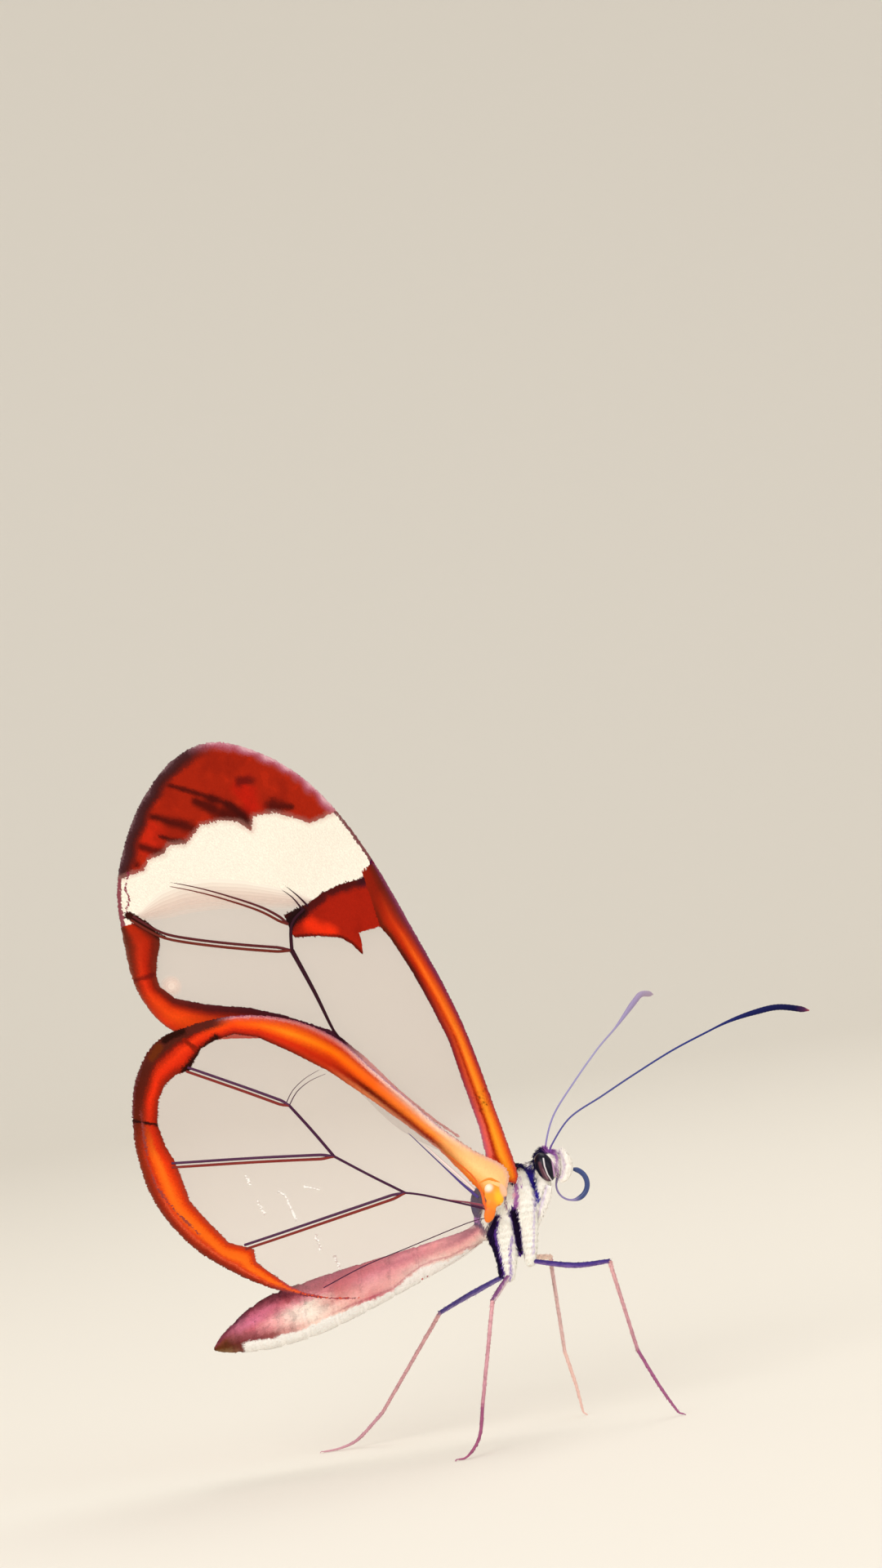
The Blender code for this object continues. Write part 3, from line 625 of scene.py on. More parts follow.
def eye_finish():
    settings = {"Roughness": 0.3, "Specular IOR Level": 0.15, "Coat Weight": 0.1, "Coat Roughness": 0.08}
    made, nodes, links, shader = new_finish("eye_facets", settings)
    own = nodes.new("ShaderNodeAttribute")
    own.attribute_name = "dye"
    links.new(own.outputs["Color"], shader.inputs["Base Color"])
    facets = on_piece(nodes, links, "ShaderNodeTexVoronoi", {"Scale": 14 / MM})
    relief = add_node(nodes, "ShaderNodeBump", {"Strength": 0.25, "Distance": 0.01 * MM})
    links.new(facets.outputs["Distance"], relief.inputs["Height"])
    links.new(relief.outputs["Normal"], shader.inputs["Normal"])
    return made


EYE_FINISH = eye_finish()
for side_name, side in SIDES.items():
    eye = ball((0, 0, 0), EYE_SIZE)
    eye.name = eye.data.name = f"eye_dome_{side_name}"
    bpy.ops.object.transform_apply(location=True, rotation=True, scale=True)
    refine = eye.modifiers.new("refine", "SUBSURF")
    refine.levels = refine.render_levels = 2
    bpy.ops.object.modifier_apply(modifier="refine")
    lean = np.array(Matrix.Rotation(math.radians(-EYE_TILT), 3, "Y"))
    leant = coordinates(eye.data) @ lean.T + (EYE_CENTRE[0], side * EYE_SIDE, EYE_CENTRE[1])
    settle(eye, leant)
    # Near-black domes, with the painted reflection and the other eye lines stroked over them.
    shade = np.tile(rgb("0b081c"), (len(leant), 1))
    for colour, line, widths in EYE_LINES_AND_GLINTS:
        shade = stroke(shade, leant[:, [0, 2]], colour, line, widths, 0.03)
    dye(eye.data, shade)
    eye.data.materials.append(EYE_FINISH)
    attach(eye, "root")
    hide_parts(f"eye_{side_name}")

# The palps and the folded forelegs: short brushes of white scales with a dark line, each a soft spindle
# of skin under its own coat.
PALP = [
    (4.52, 13.3, 0.14), (4.8, 13.45, 0.24), (5.0, 13.85, 0.3), (5.02, 14.35, 0.28), (4.88, 14.85, 0.12),
]
PALP_SIDE = 0.42
FORELEG = [
    (3.92, 13.15, 0.16), (3.74, 12.72, 0.24), (3.52, 12.25, 0.25), (3.26, 11.75, 0.2), (2.98, 11.2, 0.1),
]
FORELEG_SIDE = 0.60
BRUSH_DENSITY = 230


def drawn_tube(name, lines, sides=3):
    """A mesh of round tubes. Each line has the points (x, y, z) and the radius there, in mm."""
    curve = bpy.data.curves.new(name, "CURVE")
    curve.dimensions = "3D"
    curve.bevel_depth = MM
    curve.bevel_resolution = sides
    curve.use_fill_caps = True
    for line in lines:
        strand = curve.splines.new("POLY")
        strand.points.add(len(line) - 1)
        for point, values in zip(strand.points, line):
            point.co = (*place(values[:3]), 1.0)
            point.radius = values[3]
    made = add_object(name, curve)
    bpy.ops.object.select_all(action="DESELECT")
    made.select_set(True)
    bpy.context.view_layer.objects.active = made
    bpy.ops.object.convert(target="MESH")
    made = bpy.context.object
    made.data.shade_smooth()
    return made


def brush_colours(points, line, shade):
    """White, with one darker line down the front."""
    white = np.tile(rgb("fffaf2"), (len(points), 1))
    return stroke(white, points[:, [0, 2]], shade, [(x - 0.12, z) for x, z, _ in line], (0.04, 0.03))


BRUSHES = {"palp": (PALP, PALP_SIDE, "d8c0dc"), "foreleg": (FORELEG, FORELEG_SIDE, "e4d4ec")}
for kind, (line, out, shade) in BRUSHES.items():
    for side_name, side in SIDES.items():
        path = [(x, side * out, z, r) for x, z, r in smooth_line(line, 0.12)]
        spindle = drawn_tube(f"{kind}_skin_{side_name}", [path], 4)
        points = in_mm(spindle)
        dye(spindle.data, brush_colours(points, line, shade))
        spindle.data.materials.append(SKIN_FINISH)
        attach(spindle, "root")
        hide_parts(f"{kind}_{side_name}")
        p, n = scatter(spindle, BRUSH_DENSITY)
        count = len(p)
        size = random.uniform(0.7, 1.2, count)
        lie = np.tile((0.15, 0.0, 1.0) if kind == "palp" else (-0.25, 0.0, -1.0), (count, 1))
        chart = np.stack([(p[:, 2] - 11) / 4.5, np.arctan2(n[:, 1], n[:, 0]) / 6.5 + 0.5], 1)
        hair = coat(f"{kind}_hair_{side_name}", p, n, lie, 0.20 * size, 0.05 * size, 0.05 * size,
                    brush_colours(p, line, shade), chart)
        hair.data.materials.append(SKIN_FINISH)
        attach(hair, "root")

# The tongue: a drinking tube coiled once under the palps, pale and thin where it leaves the mouth and
# deep blue over its outer half.
COIL_CENTRE, COIL_RADIUS = (5.15, 12.96), 0.84
COIL_FROM, COIL_TO, COIL_STEP = 168.0, 436.0, 4.0
COIL_THICK, COIL_THIN = 0.145, 0.055
coil = []
for turn in np.arange(COIL_FROM, COIL_TO + COIL_STEP, COIL_STEP):
    angle = math.radians(turn)
    thick = COIL_THIN + (COIL_THICK - COIL_THIN) * float(between(turn, 255, 300))
    thick -= 0.06 * float(between(turn, COIL_TO - 16, COIL_TO + 4))
    coil.append((COIL_CENTRE[0] + COIL_RADIUS * math.cos(angle), 0.0,
                 COIL_CENTRE[1] + COIL_RADIUS * math.sin(angle), thick))
tongue = drawn_tube("tongue", [[(4.45, 0.0, 13.5, 0.08), *coil]], 4)
points = in_mm(tongue)
angle = np.degrees(np.arctan2(points[:, 2] - COIL_CENTRE[1], points[:, 0] - COIL_CENTRE[0])) % 360
share = np.where(angle < 90, angle + 360, angle)
shade = np.tile(rgb("8a7cae"), (len(points), 1))
dye(tongue.data, blend(shade, "2c4078", between(share, 262, 300)))
tongue.data.materials.append(dyed_finish("tongue_horn", 0.35, 14.0, 0.2, coat=0.3, specular=0.4))
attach(tongue, "root")
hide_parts("proboscis_1", "proboscis_2", "proboscis_3")

# The antennae: slender ringed rods of blue-grey scales that thicken into a long club with a rusty tip.
ANTENNAE = {
    "right": [
        (4.28, -0.3, 14.92), (4.42, -0.42, 15.3), (5.6, -0.7, 16.6), (7.48, -1.0, 17.51),
        (9.34, -1.3, 18.4), (11.53, -1.6, 19.37), (13.45, -1.9, 20.06), (14.89, -2.1, 20.52),
        (16.34, -2.3, 20.79), (17.63, -2.5, 20.86), (19.15, -2.7, 20.45),
    ],
    "left": [
        (4.15, 0.3, 14.92), (4.12, 0.5, 15.36), (4.8, 2.4, 16.7), (6.2, 4.6, 18.17), (7.81, 6.8, 19.67),
        (9.01, 8.3, 20.61), (10.28, 10.2, 21.75), (10.8, 11.0, 22.1), (11.45, 12.0, 21.95),
    ],
}
ANTENNA_RING = 0.19
# The far antenna's colours are painted paler than the near one's, as painted light on its lit underside; in
# life the two are alike.
ANTENNA_RAMPS = {
    "right": "0.0 8a4a9c, 0.03 5f5c9c, 0.3 4c508c, 0.6 2c347c, 0.8 161a52, 0.95 10103c, 0.98 4a2448, "
         "1.0 a04a54",
    "left": "0.0 a078b4, 0.05 8c82b8, 0.5 a09ac0, 0.85 9c8cb0, 1.0 b09cae",
}
ANTENNA_FINISH = dyed_finish("antenna_scales", 0.5, 12.0, 0.25)
for side_name, points in ANTENNAE.items():
    path = smooth_line(points, ANTENNA_RING / 2)
    steps = np.linspace(0, 1, len(path))
    thick = 0.047 + 0.008 * steps + 0.105 * between(steps, 0.66, 0.86) - 0.12 * between(steps, 0.965, 1.0)
    thick = (thick + 0.05 * peak(steps, 0, 0.012)) * (1 + 0.07 * (np.arange(len(path)) % 2))
    rod = drawn_tube(f"antenna_rod_{side_name}", [np.column_stack([path, thick])], 3)
    _, share = from_line(in_mm(rod), path)
    dye(rod.data, ramp(share, ANTENNA_RAMPS[side_name]))
    rod.data.materials.append(ANTENNA_FINISH)
    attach(rod, "root")
    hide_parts(f"antenna_{side_name}")

# The legs: long thin horn tubes jointed at knee and ankle, the thighs clothed in violet and white scales,
# the shins rosy with short spines, and the feet ending in a pair of claws.
LEGS = {
    "mid_right": [
        (2.31, -0.95, 9.3), (6.48, -3.0, 8.83), (7.25, -3.1, 3.89), (8.16, -2.9, 1.69),
        (8.95, -2.72, 0.16), (9.16, -2.69, 0.08),
    ],
    "mid_left": [
        (2.31, 0.95, 9.3), (3.42, 4.8, 8.85), (3.42, 4.6, 3.6), (3.75, 4.4, 1.7), (3.93, 4.2, 0.16),
        (4.06, 4.14, 0.08),
    ],
    "hind_right": [
        (1.03, -0.95, 8.7), (-0.03, -4.9, 7.84), (-1.39, -6.5, 2.6), (-1.8, -7.0, 1.04),
        (-2.56, -7.3, 0.16), (-3.05, -7.42, 0.08),
    ],
    "hind_left": [
        (1.0, 0.95, 8.62), (-3.0, 3.0, 6.91), (-6.99, 4.9, 1.8), (-8.55, 5.35, 0.5), (-9.6, 5.4, 0.14),
        (-10.55, 5.44, 0.08),
    ],
}
LEG_SHADES = {
    "mid_right": ("4c3888", "8a6cb0", "e4b0ae", "a8628a"),
    "mid_left": ("eccab8", "f4ddcc", "e2bcba", "ecc4b8"),
    "hind_right": ("9c5f98", "ffecec", "eab2b6", "a85c80"),
    "hind_left": ("54468c", "8c7cae", "dcaaaa", "cc98a4"),
}
THIGH_SAG = {"mid_right": -0.24, "mid_left": 0.0, "hind_right": 0.0, "hind_left": 0.05}
THIGH_THICK, SHIN_THICK = (0.10, 0.135, 0.150, 0.135, 0.105), (0.105, 0.095, 0.090)
FOOT_THICK = (0.09, 0.085, 0.075, 0.045)
CLAW, CLAW_THICK = 0.22, (0.03, 0.012)
LEG_DENSITY, SPINE_SHARE = 220, 0.05


def sized(path, sizes):
    """A path with the radius at each of its points, read evenly from the sizes."""
    steps = np.linspace(0, 1, len(path))
    return np.column_stack([path, np.interp(steps, np.linspace(0, 1, len(sizes)), sizes)])


def leg_colours(points, thigh, shin, foot, shades):
    """Thighs dark above and pale below, shins rosy with brown flecks, feet darker."""
    above, below, shin_shade, foot_shade = (rgb(shade) for shade in shades)
    to_thigh, _ = from_line(points, thigh)
    to_shin, down = from_line(points, shin)
    to_foot, _ = from_line(points, foot)
    order = np.argsort(thigh[:, 0])
    centre = np.interp(points[:, 0], thigh[order, 0], thigh[order, 2])
    fleck = speckle(points, 0.10, 3)
    under = between(centre - points[:, 2] + 0.12 * fleck, -0.02, 0.09)
    colours = blend(above, below, under)
    colours *= (1 - 0.35 * between(fleck, 0.15, 0.4))[:, None]
    flecked = shin_shade * (1 - 0.3 * between(fleck, 0.1, 0.35))[:, None]
    flecked = blend(flecked, foot_shade, 0.5 * down)
    colours = np.where((to_shin < to_thigh)[:, None], flecked, colours)
    colours = np.where((to_foot < np.minimum(to_shin, to_thigh))[:, None], foot_shade, colours)
    return np.clip(colours, 0, 1)


LEG_FINISH = dyed_finish("leg_scales", 0.5, 12.0, 0.3)
for leg_name, points in LEGS.items():
    trochanter, knee, ankle = (np.array(p) for p in points[:3])
    sag = (0, 0, THIGH_SAG[leg_name])
    thigh = smooth_line([trochanter, trochanter + (knee - trochanter) * 0.55 + sag, knee], 0.25)
    shin = smooth_line([knee, ankle], 0.3)
    foot = smooth_line(points[2:], 0.2)
    lines = [sized(thigh, THIGH_THICK), sized(shin, SHIN_THICK), sized(foot, FOOT_THICK)]
    ahead = (foot[-1] - foot[-4]) / np.linalg.norm(foot[-1] - foot[-4])
    beside = np.cross(ahead, (0, 0, 1.0))
    for way in (-1, 1):
        bend = foot[-1] + ahead * CLAW * 0.6 + beside * way * CLAW * 0.35 + (0, 0, 0.03)
        point = bend + ahead * CLAW * 0.4 - (0, 0, 0.07)
        lines.append(sized(smooth_line([foot[-1], bend, point], 0.05), CLAW_THICK))
    leg = drawn_tube(f"leg_{leg_name}", lines, 3)
    shades = LEG_SHADES[leg_name]
    dye(leg.data, leg_colours(in_mm(leg), thigh, shin, foot, shades))
    leg.data.materials.append(LEG_FINISH)
    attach(leg, "root")
    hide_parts(f"femur_{leg_name}", f"tibia_{leg_name}", f"tarsus_{leg_name}")
    p, n = scatter(leg, LEG_DENSITY)
    p, n = p[p[:, 2] > 0.3], n[p[:, 2] > 0.3]
    count = len(p)
    size = random.uniform(0.7, 1.3, count)
    lie = np.where((p[:, 2] < knee[2] - 0.3)[:, None], ankle - knee, knee - trochanter)
    spine = random.random(count) < SPINE_SHARE
    chart = np.stack([p[:, 2] / 10, np.arctan2(n[:, 1], n[:, 0]) / 6.5 + 0.5], 1)
    tints = np.clip(leg_colours(p, thigh, shin, foot, shades) * random.uniform(0.85, 1.1, (count, 1)), 0, 1)
    scales = coat(f"leg_scales_{leg_name}", p, n, lie, 0.12 * size, np.where(spine, 0.02, 0.045) * size,
                  np.where(spine, 0.10, 0.02) * size, tints, chart)
    scales.data.materials.append(LEG_FINISH)
    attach(scales, "root")

# The wings: a glass-clear film, paler and milky in a band near the tip, stretched between brown hollow
# veins, and clothed with coloured scales only along its edges, at its tip and on the cross vein.
FILM_HALF = 0.015
WING_GRID, LINE_STEP = 0.16, 0.12
# The haze is eight films from nearly clear to nearly white, each with its opacity and its two colours.
FADE_FILMS = [
    (0.12, "eed0c0", "e8c8ba"), (0.2, "f0d4c4", "e9ccbe"), (0.29, "f3dacb", "ecd0c2"),
    (0.39, "f5e0d2", "efd6c8"), (0.5, "f7e6d8", "f3ddcf"), (0.61, "f9ebdd", "f6e4d6"),
    (0.73, "faefe0", "f8e9db"), (0.85, "fbf2e3", "faeedf"),
]
CLEAR, HAZE, MILK, SCALED = 0, 1, len(FADE_FILMS) + 1, len(FADE_FILMS) + 2
WINGS = {
    "forewing": {
        "root": (2.24, 13.92),
        "angle": 115.9,
        "outline": [
            (0.0, -0.1), (3.0, -0.95), (8.7, -2.35), (14.3, -3.0), (19.3, -3.35), (23.3, -3.0),
            (26.2, -1.9), (28.5, 0.0), (29.05, 2.3), (28.3, 4.8), (26.9, 7.0), (25.0, 8.9), (22.5, 10.2),
            (20.0, 11.1), (17.6, 11.0), (15.9, 9.9), (14.6, 8.0), (13.2, 6.1), (11.6, 4.9), (8.6, 4.4),
            (5.8, 3.8), (3.6, 2.7), (1.9, 1.5), (0.1, 0.5),
        ],
    },
    "hindwing": {
        "root": (0.4, 12.17),
        "angle": 155.1,
        "outline": [
            (-0.45, -2.45), (1.8, -3.15), (3.7, -3.8), (5.8, -4.75), (8.0, -5.75), (10.4, -6.83),
            (13.0, -7.13), (15.7, -6.62), (18.0, -5.45), (19.7, -4.0), (20.2, -2.0), (19.9, 0.0),
            (18.95, 2.25), (17.32, 4.4), (14.75, 6.08), (11.7, 6.85), (8.8, 6.95), (6.0, 6.4),
            (3.9, 5.3), (1.9, 3.8), (0.2, 2.0), (-0.3, 0.5),
        ],
    },
}


def wing_lift(kind, plan):
    """How far the film lies from the midplane, as the wings are folded together over the back."""
    along, across_wing = plan.T
    if kind == "forewing":
        return 0.40 + 1.26 * (1 - between(along, 0.0, 5.2))
    bulge = between(across_wing, 2.0, 6.0) * (1 - between(along, 9.5, 14.5))
    return 1.36 + 0.74 * (1 - between(along, 0.0, 10.0)) + 0.5 * bulge


def on_wing(kind, side, plan, out):
    """Places on a wing, in mm, of points (along, across) of its plan, at so far out from the film."""
    turn = math.radians(WINGS[kind]["angle"])
    x0, z0 = WINGS[kind]["root"]
    x = x0 + plan[:, 0] * math.cos(turn) - plan[:, 1] * math.sin(turn)
    z = z0 + plan[:, 0] * math.sin(turn) + plan[:, 1] * math.cos(turn)
    if side > 0:
        behind = 2 * wing_lift(kind, plan) / -CAMERA_PLACE[1]
        x = x + (x - CAMERA_PLACE[0]) * behind
        z = z + (z - CAMERA_PLACE[2]) * behind
    ripple = 0.05 * np.sin(plan[:, 0] * 0.9 + 1.3 * np.sin(plan[:, 1] * 0.7)) * between(plan[:, 0], 2.0, 6.0)
    return np.column_stack([x, side * (wing_lift(kind, plan) + ripple + out), z])


def within(points, rim):
    """True for each point inside a closed outline."""
    inside = np.zeros(len(points), bool)
    for a, b in zip(rim, np.roll(rim, -1, axis=0)):
        crosses = (a[1] > points[:, 1]) != (b[1] > points[:, 1])
        at = a[0] + (b[0] - a[0]) * (points[:, 1] - a[1]) / (b[1] - a[1] if b[1] != a[1] else 1e-9)
        inside ^= crosses & (points[:, 0] < at)
    return inside


class Pattern:
    """Colours laid over a wing's plan, one mark over another, with how thickly scales cover each point."""

    def __init__(self, plan):
        self.plan = plan
        self.colour = np.tile(rgb("efe0d8"), (len(plan), 1))
        self.cover = np.zeros(len(plan))
        self.sheet = np.zeros(len(plan), int)

    def lay(self, where, shade, sheet=SCALED):
        where = np.asarray(where, bool)
        self.colour[where] = rgb(shade) if isinstance(shade, str) else shade[where]
        self.cover[where] = 1
        self.sheet[where] = sheet

    def tint(self, amount, shade):
        self.colour = blend(self.colour, shade, np.clip(amount, 0, 1))

    def mark(self, where, shade, line, ragged, low, high, amount=1.0):
        """Tints along a line, in full up to low from it and fading out at high."""
        near, _ = from_line(self.plan, np.array(line))
        self.tint(where * (1 - between(near + ragged, low, high)) * amount, shade)


COSTA_INNER = [
    (-1.0, 0.95), (0.4, 0.8), (1.64, 0.75), (3.3, 0.12), (5.68, -0.5), (8.05, -1.18), (10.36, -1.49),
    (12.43, -1.69), (14.38, -1.74), (15.31, -1.64), (18.03, -2.45), (21.76, -3.1), (22.4, -3.6),
]
APEX_EDGE = [
    (21.5, -4.0), (21.76, -3.1), (21.99, -1.7), (22.72, -1.19), (23.6, -0.4), (24.08, 0.61),
    (23.45, 1.15), (24.35, 1.5), (24.9, 2.19), (25.29, 3.21), (24.9, 4.46), (25.37, 5.2), (25.17, 5.76),
    (25.34, 6.62), (25.02, 7.16), (25.27, 8.0), (25.6, 9.5),
]
WHITE_EDGE = [
    (18.3, -4.0), (18.23, -3.24), (18.03, -2.45), (18.44, -1.23), (18.3, 0.43), (18.9, 1.6), (20.3, 3.2),
    (21.4, 4.6), (22.2, 6.2), (22.3, 7.6), (22.9, 8.9), (23.4, 10.5),
]
SOLID_EDGE = [
    (18.6, 0.5), (19.3, 0.9), (20.6, 2.1), (21.6, 3.1), (22.7, 4.5), (23.4, 5.9), (23.6, 7.0),
    (23.5, 7.9), (23.3, 8.7), (23.5, 9.3),
]
FADE_END = [
    (18.3, 0.8), (18.75, 1.6), (19.9, 3.3), (20.9, 4.8), (21.7, 6.3), (22.2, 7.6), (22.9, 8.9),
    (23.45, 9.4),
]
MILKY_SPOT, MILKY_RINGS = (19.05, 9.50), (0.58, 0.48, 0.38, 0.28, 0.18)
DISC_PATCH = [
    (18.7, -3.8), (18.57, -3.37), (17.95, -2.4), (18.37, -1.18), (18.55, -0.15), (18.5, 0.9),
    (18.72, 2.28), (17.94, 2.45), (17.42, 2.49), (16.81, 1.45), (16.0, 0.45), (15.36, 0.15),
    (14.56, 0.01), (15.1, -0.3), (15.67, -0.5), (15.31, -1.64), (15.2, -3.6),
]
HIND_INNER = [
    (24.2, 9.9), (23.28, 9.23), (22.6, 8.8), (21.71, 8.44), (21.2, 8.79), (20.6, 9.4), (19.96, 9.87),
    (19.4, 10.05), (19.01, 9.9), (18.37, 9.7), (17.1, 8.46), (15.62, 6.64), (14.26, 5.38), (13.0, 4.41),
    (12.08, 3.71), (9.93, 3.05), (7.4, 2.55), (4.95, 1.85), (2.46, 0.85), (0.53, 0.4),
]
APEX_STREAKS = [
    ([(28.51, 3.77), (26.81, 2.4), (25.25, 1.26), (23.9, 1.0)], 0.15),
    ([(26.5, 2.7), (25.3, 2.0), (24.4, 1.4)], 0.38),
    ([(28.0, 5.8), (26.56, 4.63), (25.5, 3.74)], 0.19),
    ([(27.4, 7.4), (25.99, 6.4), (25.19, 5.75)], 0.18),
    ([(26.02, 5.35), (24.95, 4.55)], 0.13),
    ([(26.5, 8.2), (25.5, 7.3)], 0.1),
    ([(23.3, -1.4), (23.9, -0.6)], 0.24),
]
HIND_COSTA_INNER = [
    (-1.0, -0.6), (0.3, -0.9), (1.4, -1.52), (3.53, -2.7), (5.53, -3.44), (7.56, -4.15), (10.34, -5.05),
    (12.52, -5.47), (14.53, -5.76), (15.85, -5.57), (16.8, -4.9), (17.33, -4.31),
]
HIND_BORDER_INNER = [
    (17.33, -4.31), (17.55, -3.4), (17.61, -3.0), (18.25, -2.58), (18.68, -1.87), (18.78, -0.97),
    (18.49, 0.23), (17.79, 1.23), (17.06, 1.89), (16.47, 2.63), (15.62, 3.81), (14.35, 4.59),
    (12.99, 5.34), (12.0, 5.3), (11.6, 5.3), (11.27, 5.91), (10.54, 6.19), (9.27, 6.61), (8.33, 6.75),
    (7.0, 6.65), (5.0, 6.05), (3.0, 4.75), (1.0, 2.95), (-0.2, 1.7),
]


def evenly(line, count):
    """So many points at even steps along a line of straight steps."""
    line = np.asarray(line, float)
    along = np.concatenate([[0], np.cumsum(np.linalg.norm(np.diff(line, axis=0), axis=1))])
    steps = np.linspace(0, along[-1], count)
    return np.column_stack([np.interp(steps, along, line[:, 0]), np.interp(steps, along, line[:, 1])])


FADE_STEPS = 24
FADE_LINES = [
    evenly(FADE_END, FADE_STEPS) + (evenly(SOLID_EDGE, FADE_STEPS) - evenly(FADE_END, FADE_STEPS)) * reach
    for reach in np.linspace(0, 1, len(FADE_FILMS) + 1)
]
SPOT_LINES = [
    [(MILKY_SPOT[0] + radius * math.cos(turn), MILKY_SPOT[1] + radius * math.sin(turn))
     for turn in np.linspace(0, 2 * math.pi, 25)]
    for radius in MILKY_RINGS
]
FILM_LINES = {
    "forewing": [COSTA_INNER, APEX_EDGE, WHITE_EDGE, DISC_PATCH, HIND_INNER, *FADE_LINES, *SPOT_LINES],
    "hindwing": [HIND_COSTA_INNER, HIND_BORDER_INNER],
}

# Colours across each band, from the wing's rim at 0 to the band's inner line at 1, at places along it,
# each written as its share of the way and its colour.
FORE_COSTAL = [
    (2.5, "0 a8484a, 0.1 d8481c, 0.24 f77f1f, 0.4 ffa428, 0.52 f0801a, 0.6 b8320c, 0.67 a8280e, "
          "0.76 ee6450, 0.88 e05c5c, 1 b4607a"),
    (6.5, "0 8c3446, 0.1 a42c28, 0.22 e4571f, 0.34 f98320, 0.45 fd902a, 0.55 e8581a, 0.64 a82608, "
          "0.75 d04c28, 0.86 b03024, 1 742834"),
    (12.0, "0 7a3656, 0.12 7c2632, 0.24 b83420, 0.38 dc4812, 0.5 fb6e1e, 0.58 ee5a14, 0.68 c4300a, "
           "0.78 941f0e, 0.9 581a10, 1 40161a"),
    (14.8, "0 8a4a64, 0.1 74283a, 0.22 842a20, 0.38 b02c14, 0.5 d43c14, 0.65 c02c0e, 0.8 a0260e, "
           "0.9 642010, 1 541a10"),
    (17.0, "0 8a4a64, 0.1 68283c, 0.22 642016, 0.4 741e10, 0.6 8a1e0e, 1 8c200e"),
]
FORE_HIND = [
    (9.8, "0 f0d0c8, 0.5 e4b0ac, 1 dca4a0"),
    (11.3, "0 b05a70, 0.15 9a4a60, 0.35 4a2032, 0.8 3a1824, 1 54283c"),
    (14.5, "0 e23a12, 0.25 ee4a12, 0.45 dc4012, 0.6 8c2a1a, 0.75 4a1a1c, 1 431c26"),
    (17.5, "0 b44a34, 0.08 de3716, 0.4 f85014, 0.62 ee4412, 0.72 b42c12, 0.84 601a14, 1 521e20"),
    (20.0, "0 8c4c3c, 0.1 7c2c1c, 0.25 b02a12, 0.42 dc3415, 0.6 b7220d, 0.8 7c1e0f, 1 7a2c1e"),
    (22.5, "0 7a4a3c, 0.1 5c2416, 0.24 702414, 0.4 b02a12, 0.65 b0280e, 0.82 741e12, 1 431c12"),
]
APEX_MARGIN = "0 74565a, 0.1 46282c, 0.42 441c1a, 0.62 6a1c14, 0.85 922210"
APEX_COSTA = "0 dcaab2, 0.1 c07888, 0.26 a84a58, 0.42 a4342a, 0.55 a4240f"
HIND_COSTAL = [
    (1.5, "0 e8b09c, 0.15 fcc484, 0.5 fdd890, 0.76 f8b868, 0.9 e87c28, 1 d8601e"),
    (4.0, "0 c08a98, 0.06 efcfc4, 0.2 fbcaa8, 0.36 f9985a, 0.5 f99438, 0.65 e66c24, 0.77 9c2c12, "
          "0.88 72221a, 1 c08070"),
    (8.0, "0 a06888, 0.05 eec4bc, 0.12 f4b4a0, 0.19 cc4a22, 0.33 f86820, 0.5 fb6412, 0.6 dc4e12, "
          "0.71 581404, 0.8 701c0c, 0.9 d07848, 1 c46a44"),
    (10.5, "0 8c4c60, 0.06 c87878, 0.12 d86450, 0.2 c42e12, 0.3 e85c10, 0.42 fc780a, 0.52 f0550a, "
           "0.62 d0360c, 0.78 b8260c, 0.9 c43414, 1 8a3018"),
    (13.0, "0 a0505c, 0.06 cc7870, 0.14 d04420, 0.3 f06012, 0.45 fe8c1a, 0.58 f86412, 0.72 dc300c, "
           "0.84 d03014, 0.93 a02814, 1 6a1c12"),
    (16.0, "0 8a4060, 0.07 dc9ca4, 0.17 e4583c, 0.35 f65012, 0.6 f04010, 0.8 c82a14, 1 56140e"),
]
HIND_BORDER = [
    (-4.0, "0 6e3c38, 0.06 4c2218, 0.3 522016, 0.38 7b1c10, 0.46 c42a11, 0.6 ee3a14, 0.78 d22a10, "
           "0.9 8c1e0e, 1 54180c"),
    (-1.0, "0 6e3a3c, 0.08 561c12, 0.4 5e1e12, 0.5 8c220e, 0.62 dc2c10, 0.72 f03412, 0.86 b8260c, "
           "1 8c281a"),
    (0.4, "0 6e3a3c, 0.08 642211, 0.28 621f10, 0.4 8c2c1c, 0.52 b02c14, 0.66 cc3016, 0.8 c42a10, "
          "0.9 a02010, 1 742014"),
    (2.2, "0 84402e, 0.08 842812, 0.2 a03018, 0.28 c0381c, 0.34 ca2c0f, 0.44 f65c14, 0.56 fb741c, "
          "0.7 ee3c10, 0.86 cc3012, 1 98301e"),
    (5.0, "0 7c3a2c, 0.1 8e2614, 0.2 ac3018, 0.29 e05834, 0.34 d83c18, 0.5 fd7019, 0.68 fa6a18, "
          "0.85 d8380c, 1 a43e2a"),
]
HIND_MARKS = [
    ("2c0f0a", 0.24, [(16.7, -5.1), (17.2, -4.2), (17.55, -3.4), (17.8, -2.95)]),
    ("2a100a", 0.2, [(18.5, -4.95), (19.0, -4.55), (19.3, -4.2)]),
    ("6a2c10", 0.22, [(19.5, -3.7), (19.75, -3.1)]),
    ("8a1e0c", 0.11, [(18.3, -4.5), (17.6, -4.2)]),
    ("2c100c", 0.1, [(18.35, 0.3), (19.2, 0.38), (19.9, 0.5)]),
    ("94403c", 0.04, [(19.64, -0.45), (19.09, 0.79), (18.34, 2.44), (17.56, 3.53), (16.26, 4.46),
                      (14.6, 5.35)]),
]
FILM_WHITE_LINES = [
    [(11.15, 1.95), (10.7, 2.1), (10.3, 2.6), (9.8, 3.16)],
    [(12.1, 2.75), (11.55, 3.35)],
    [(9.9, 1.3), (9.1, 1.2)],
    [(8.6, 3.6), (8.1, 4.3)],
    [(13.1, 1.6), (12.7, 2.0)],
    [(7.3, 4.4), (6.9, 4.9)],
]
HIND_ANAL = "0 8c4450, 0.3 742a34, 0.5 d8502c, 0.65 f06028, 0.82 c84038, 1 a84858"


def band_share(plan, rim, inner):
    """Each point's share of the way from the wing's rim to a band's inner line, and its distance to both."""
    edge, _ = from_line(plan, rim)
    line, _ = from_line(plan, np.array(inner))
    return edge / np.maximum(edge + line, 1e-6), edge, line


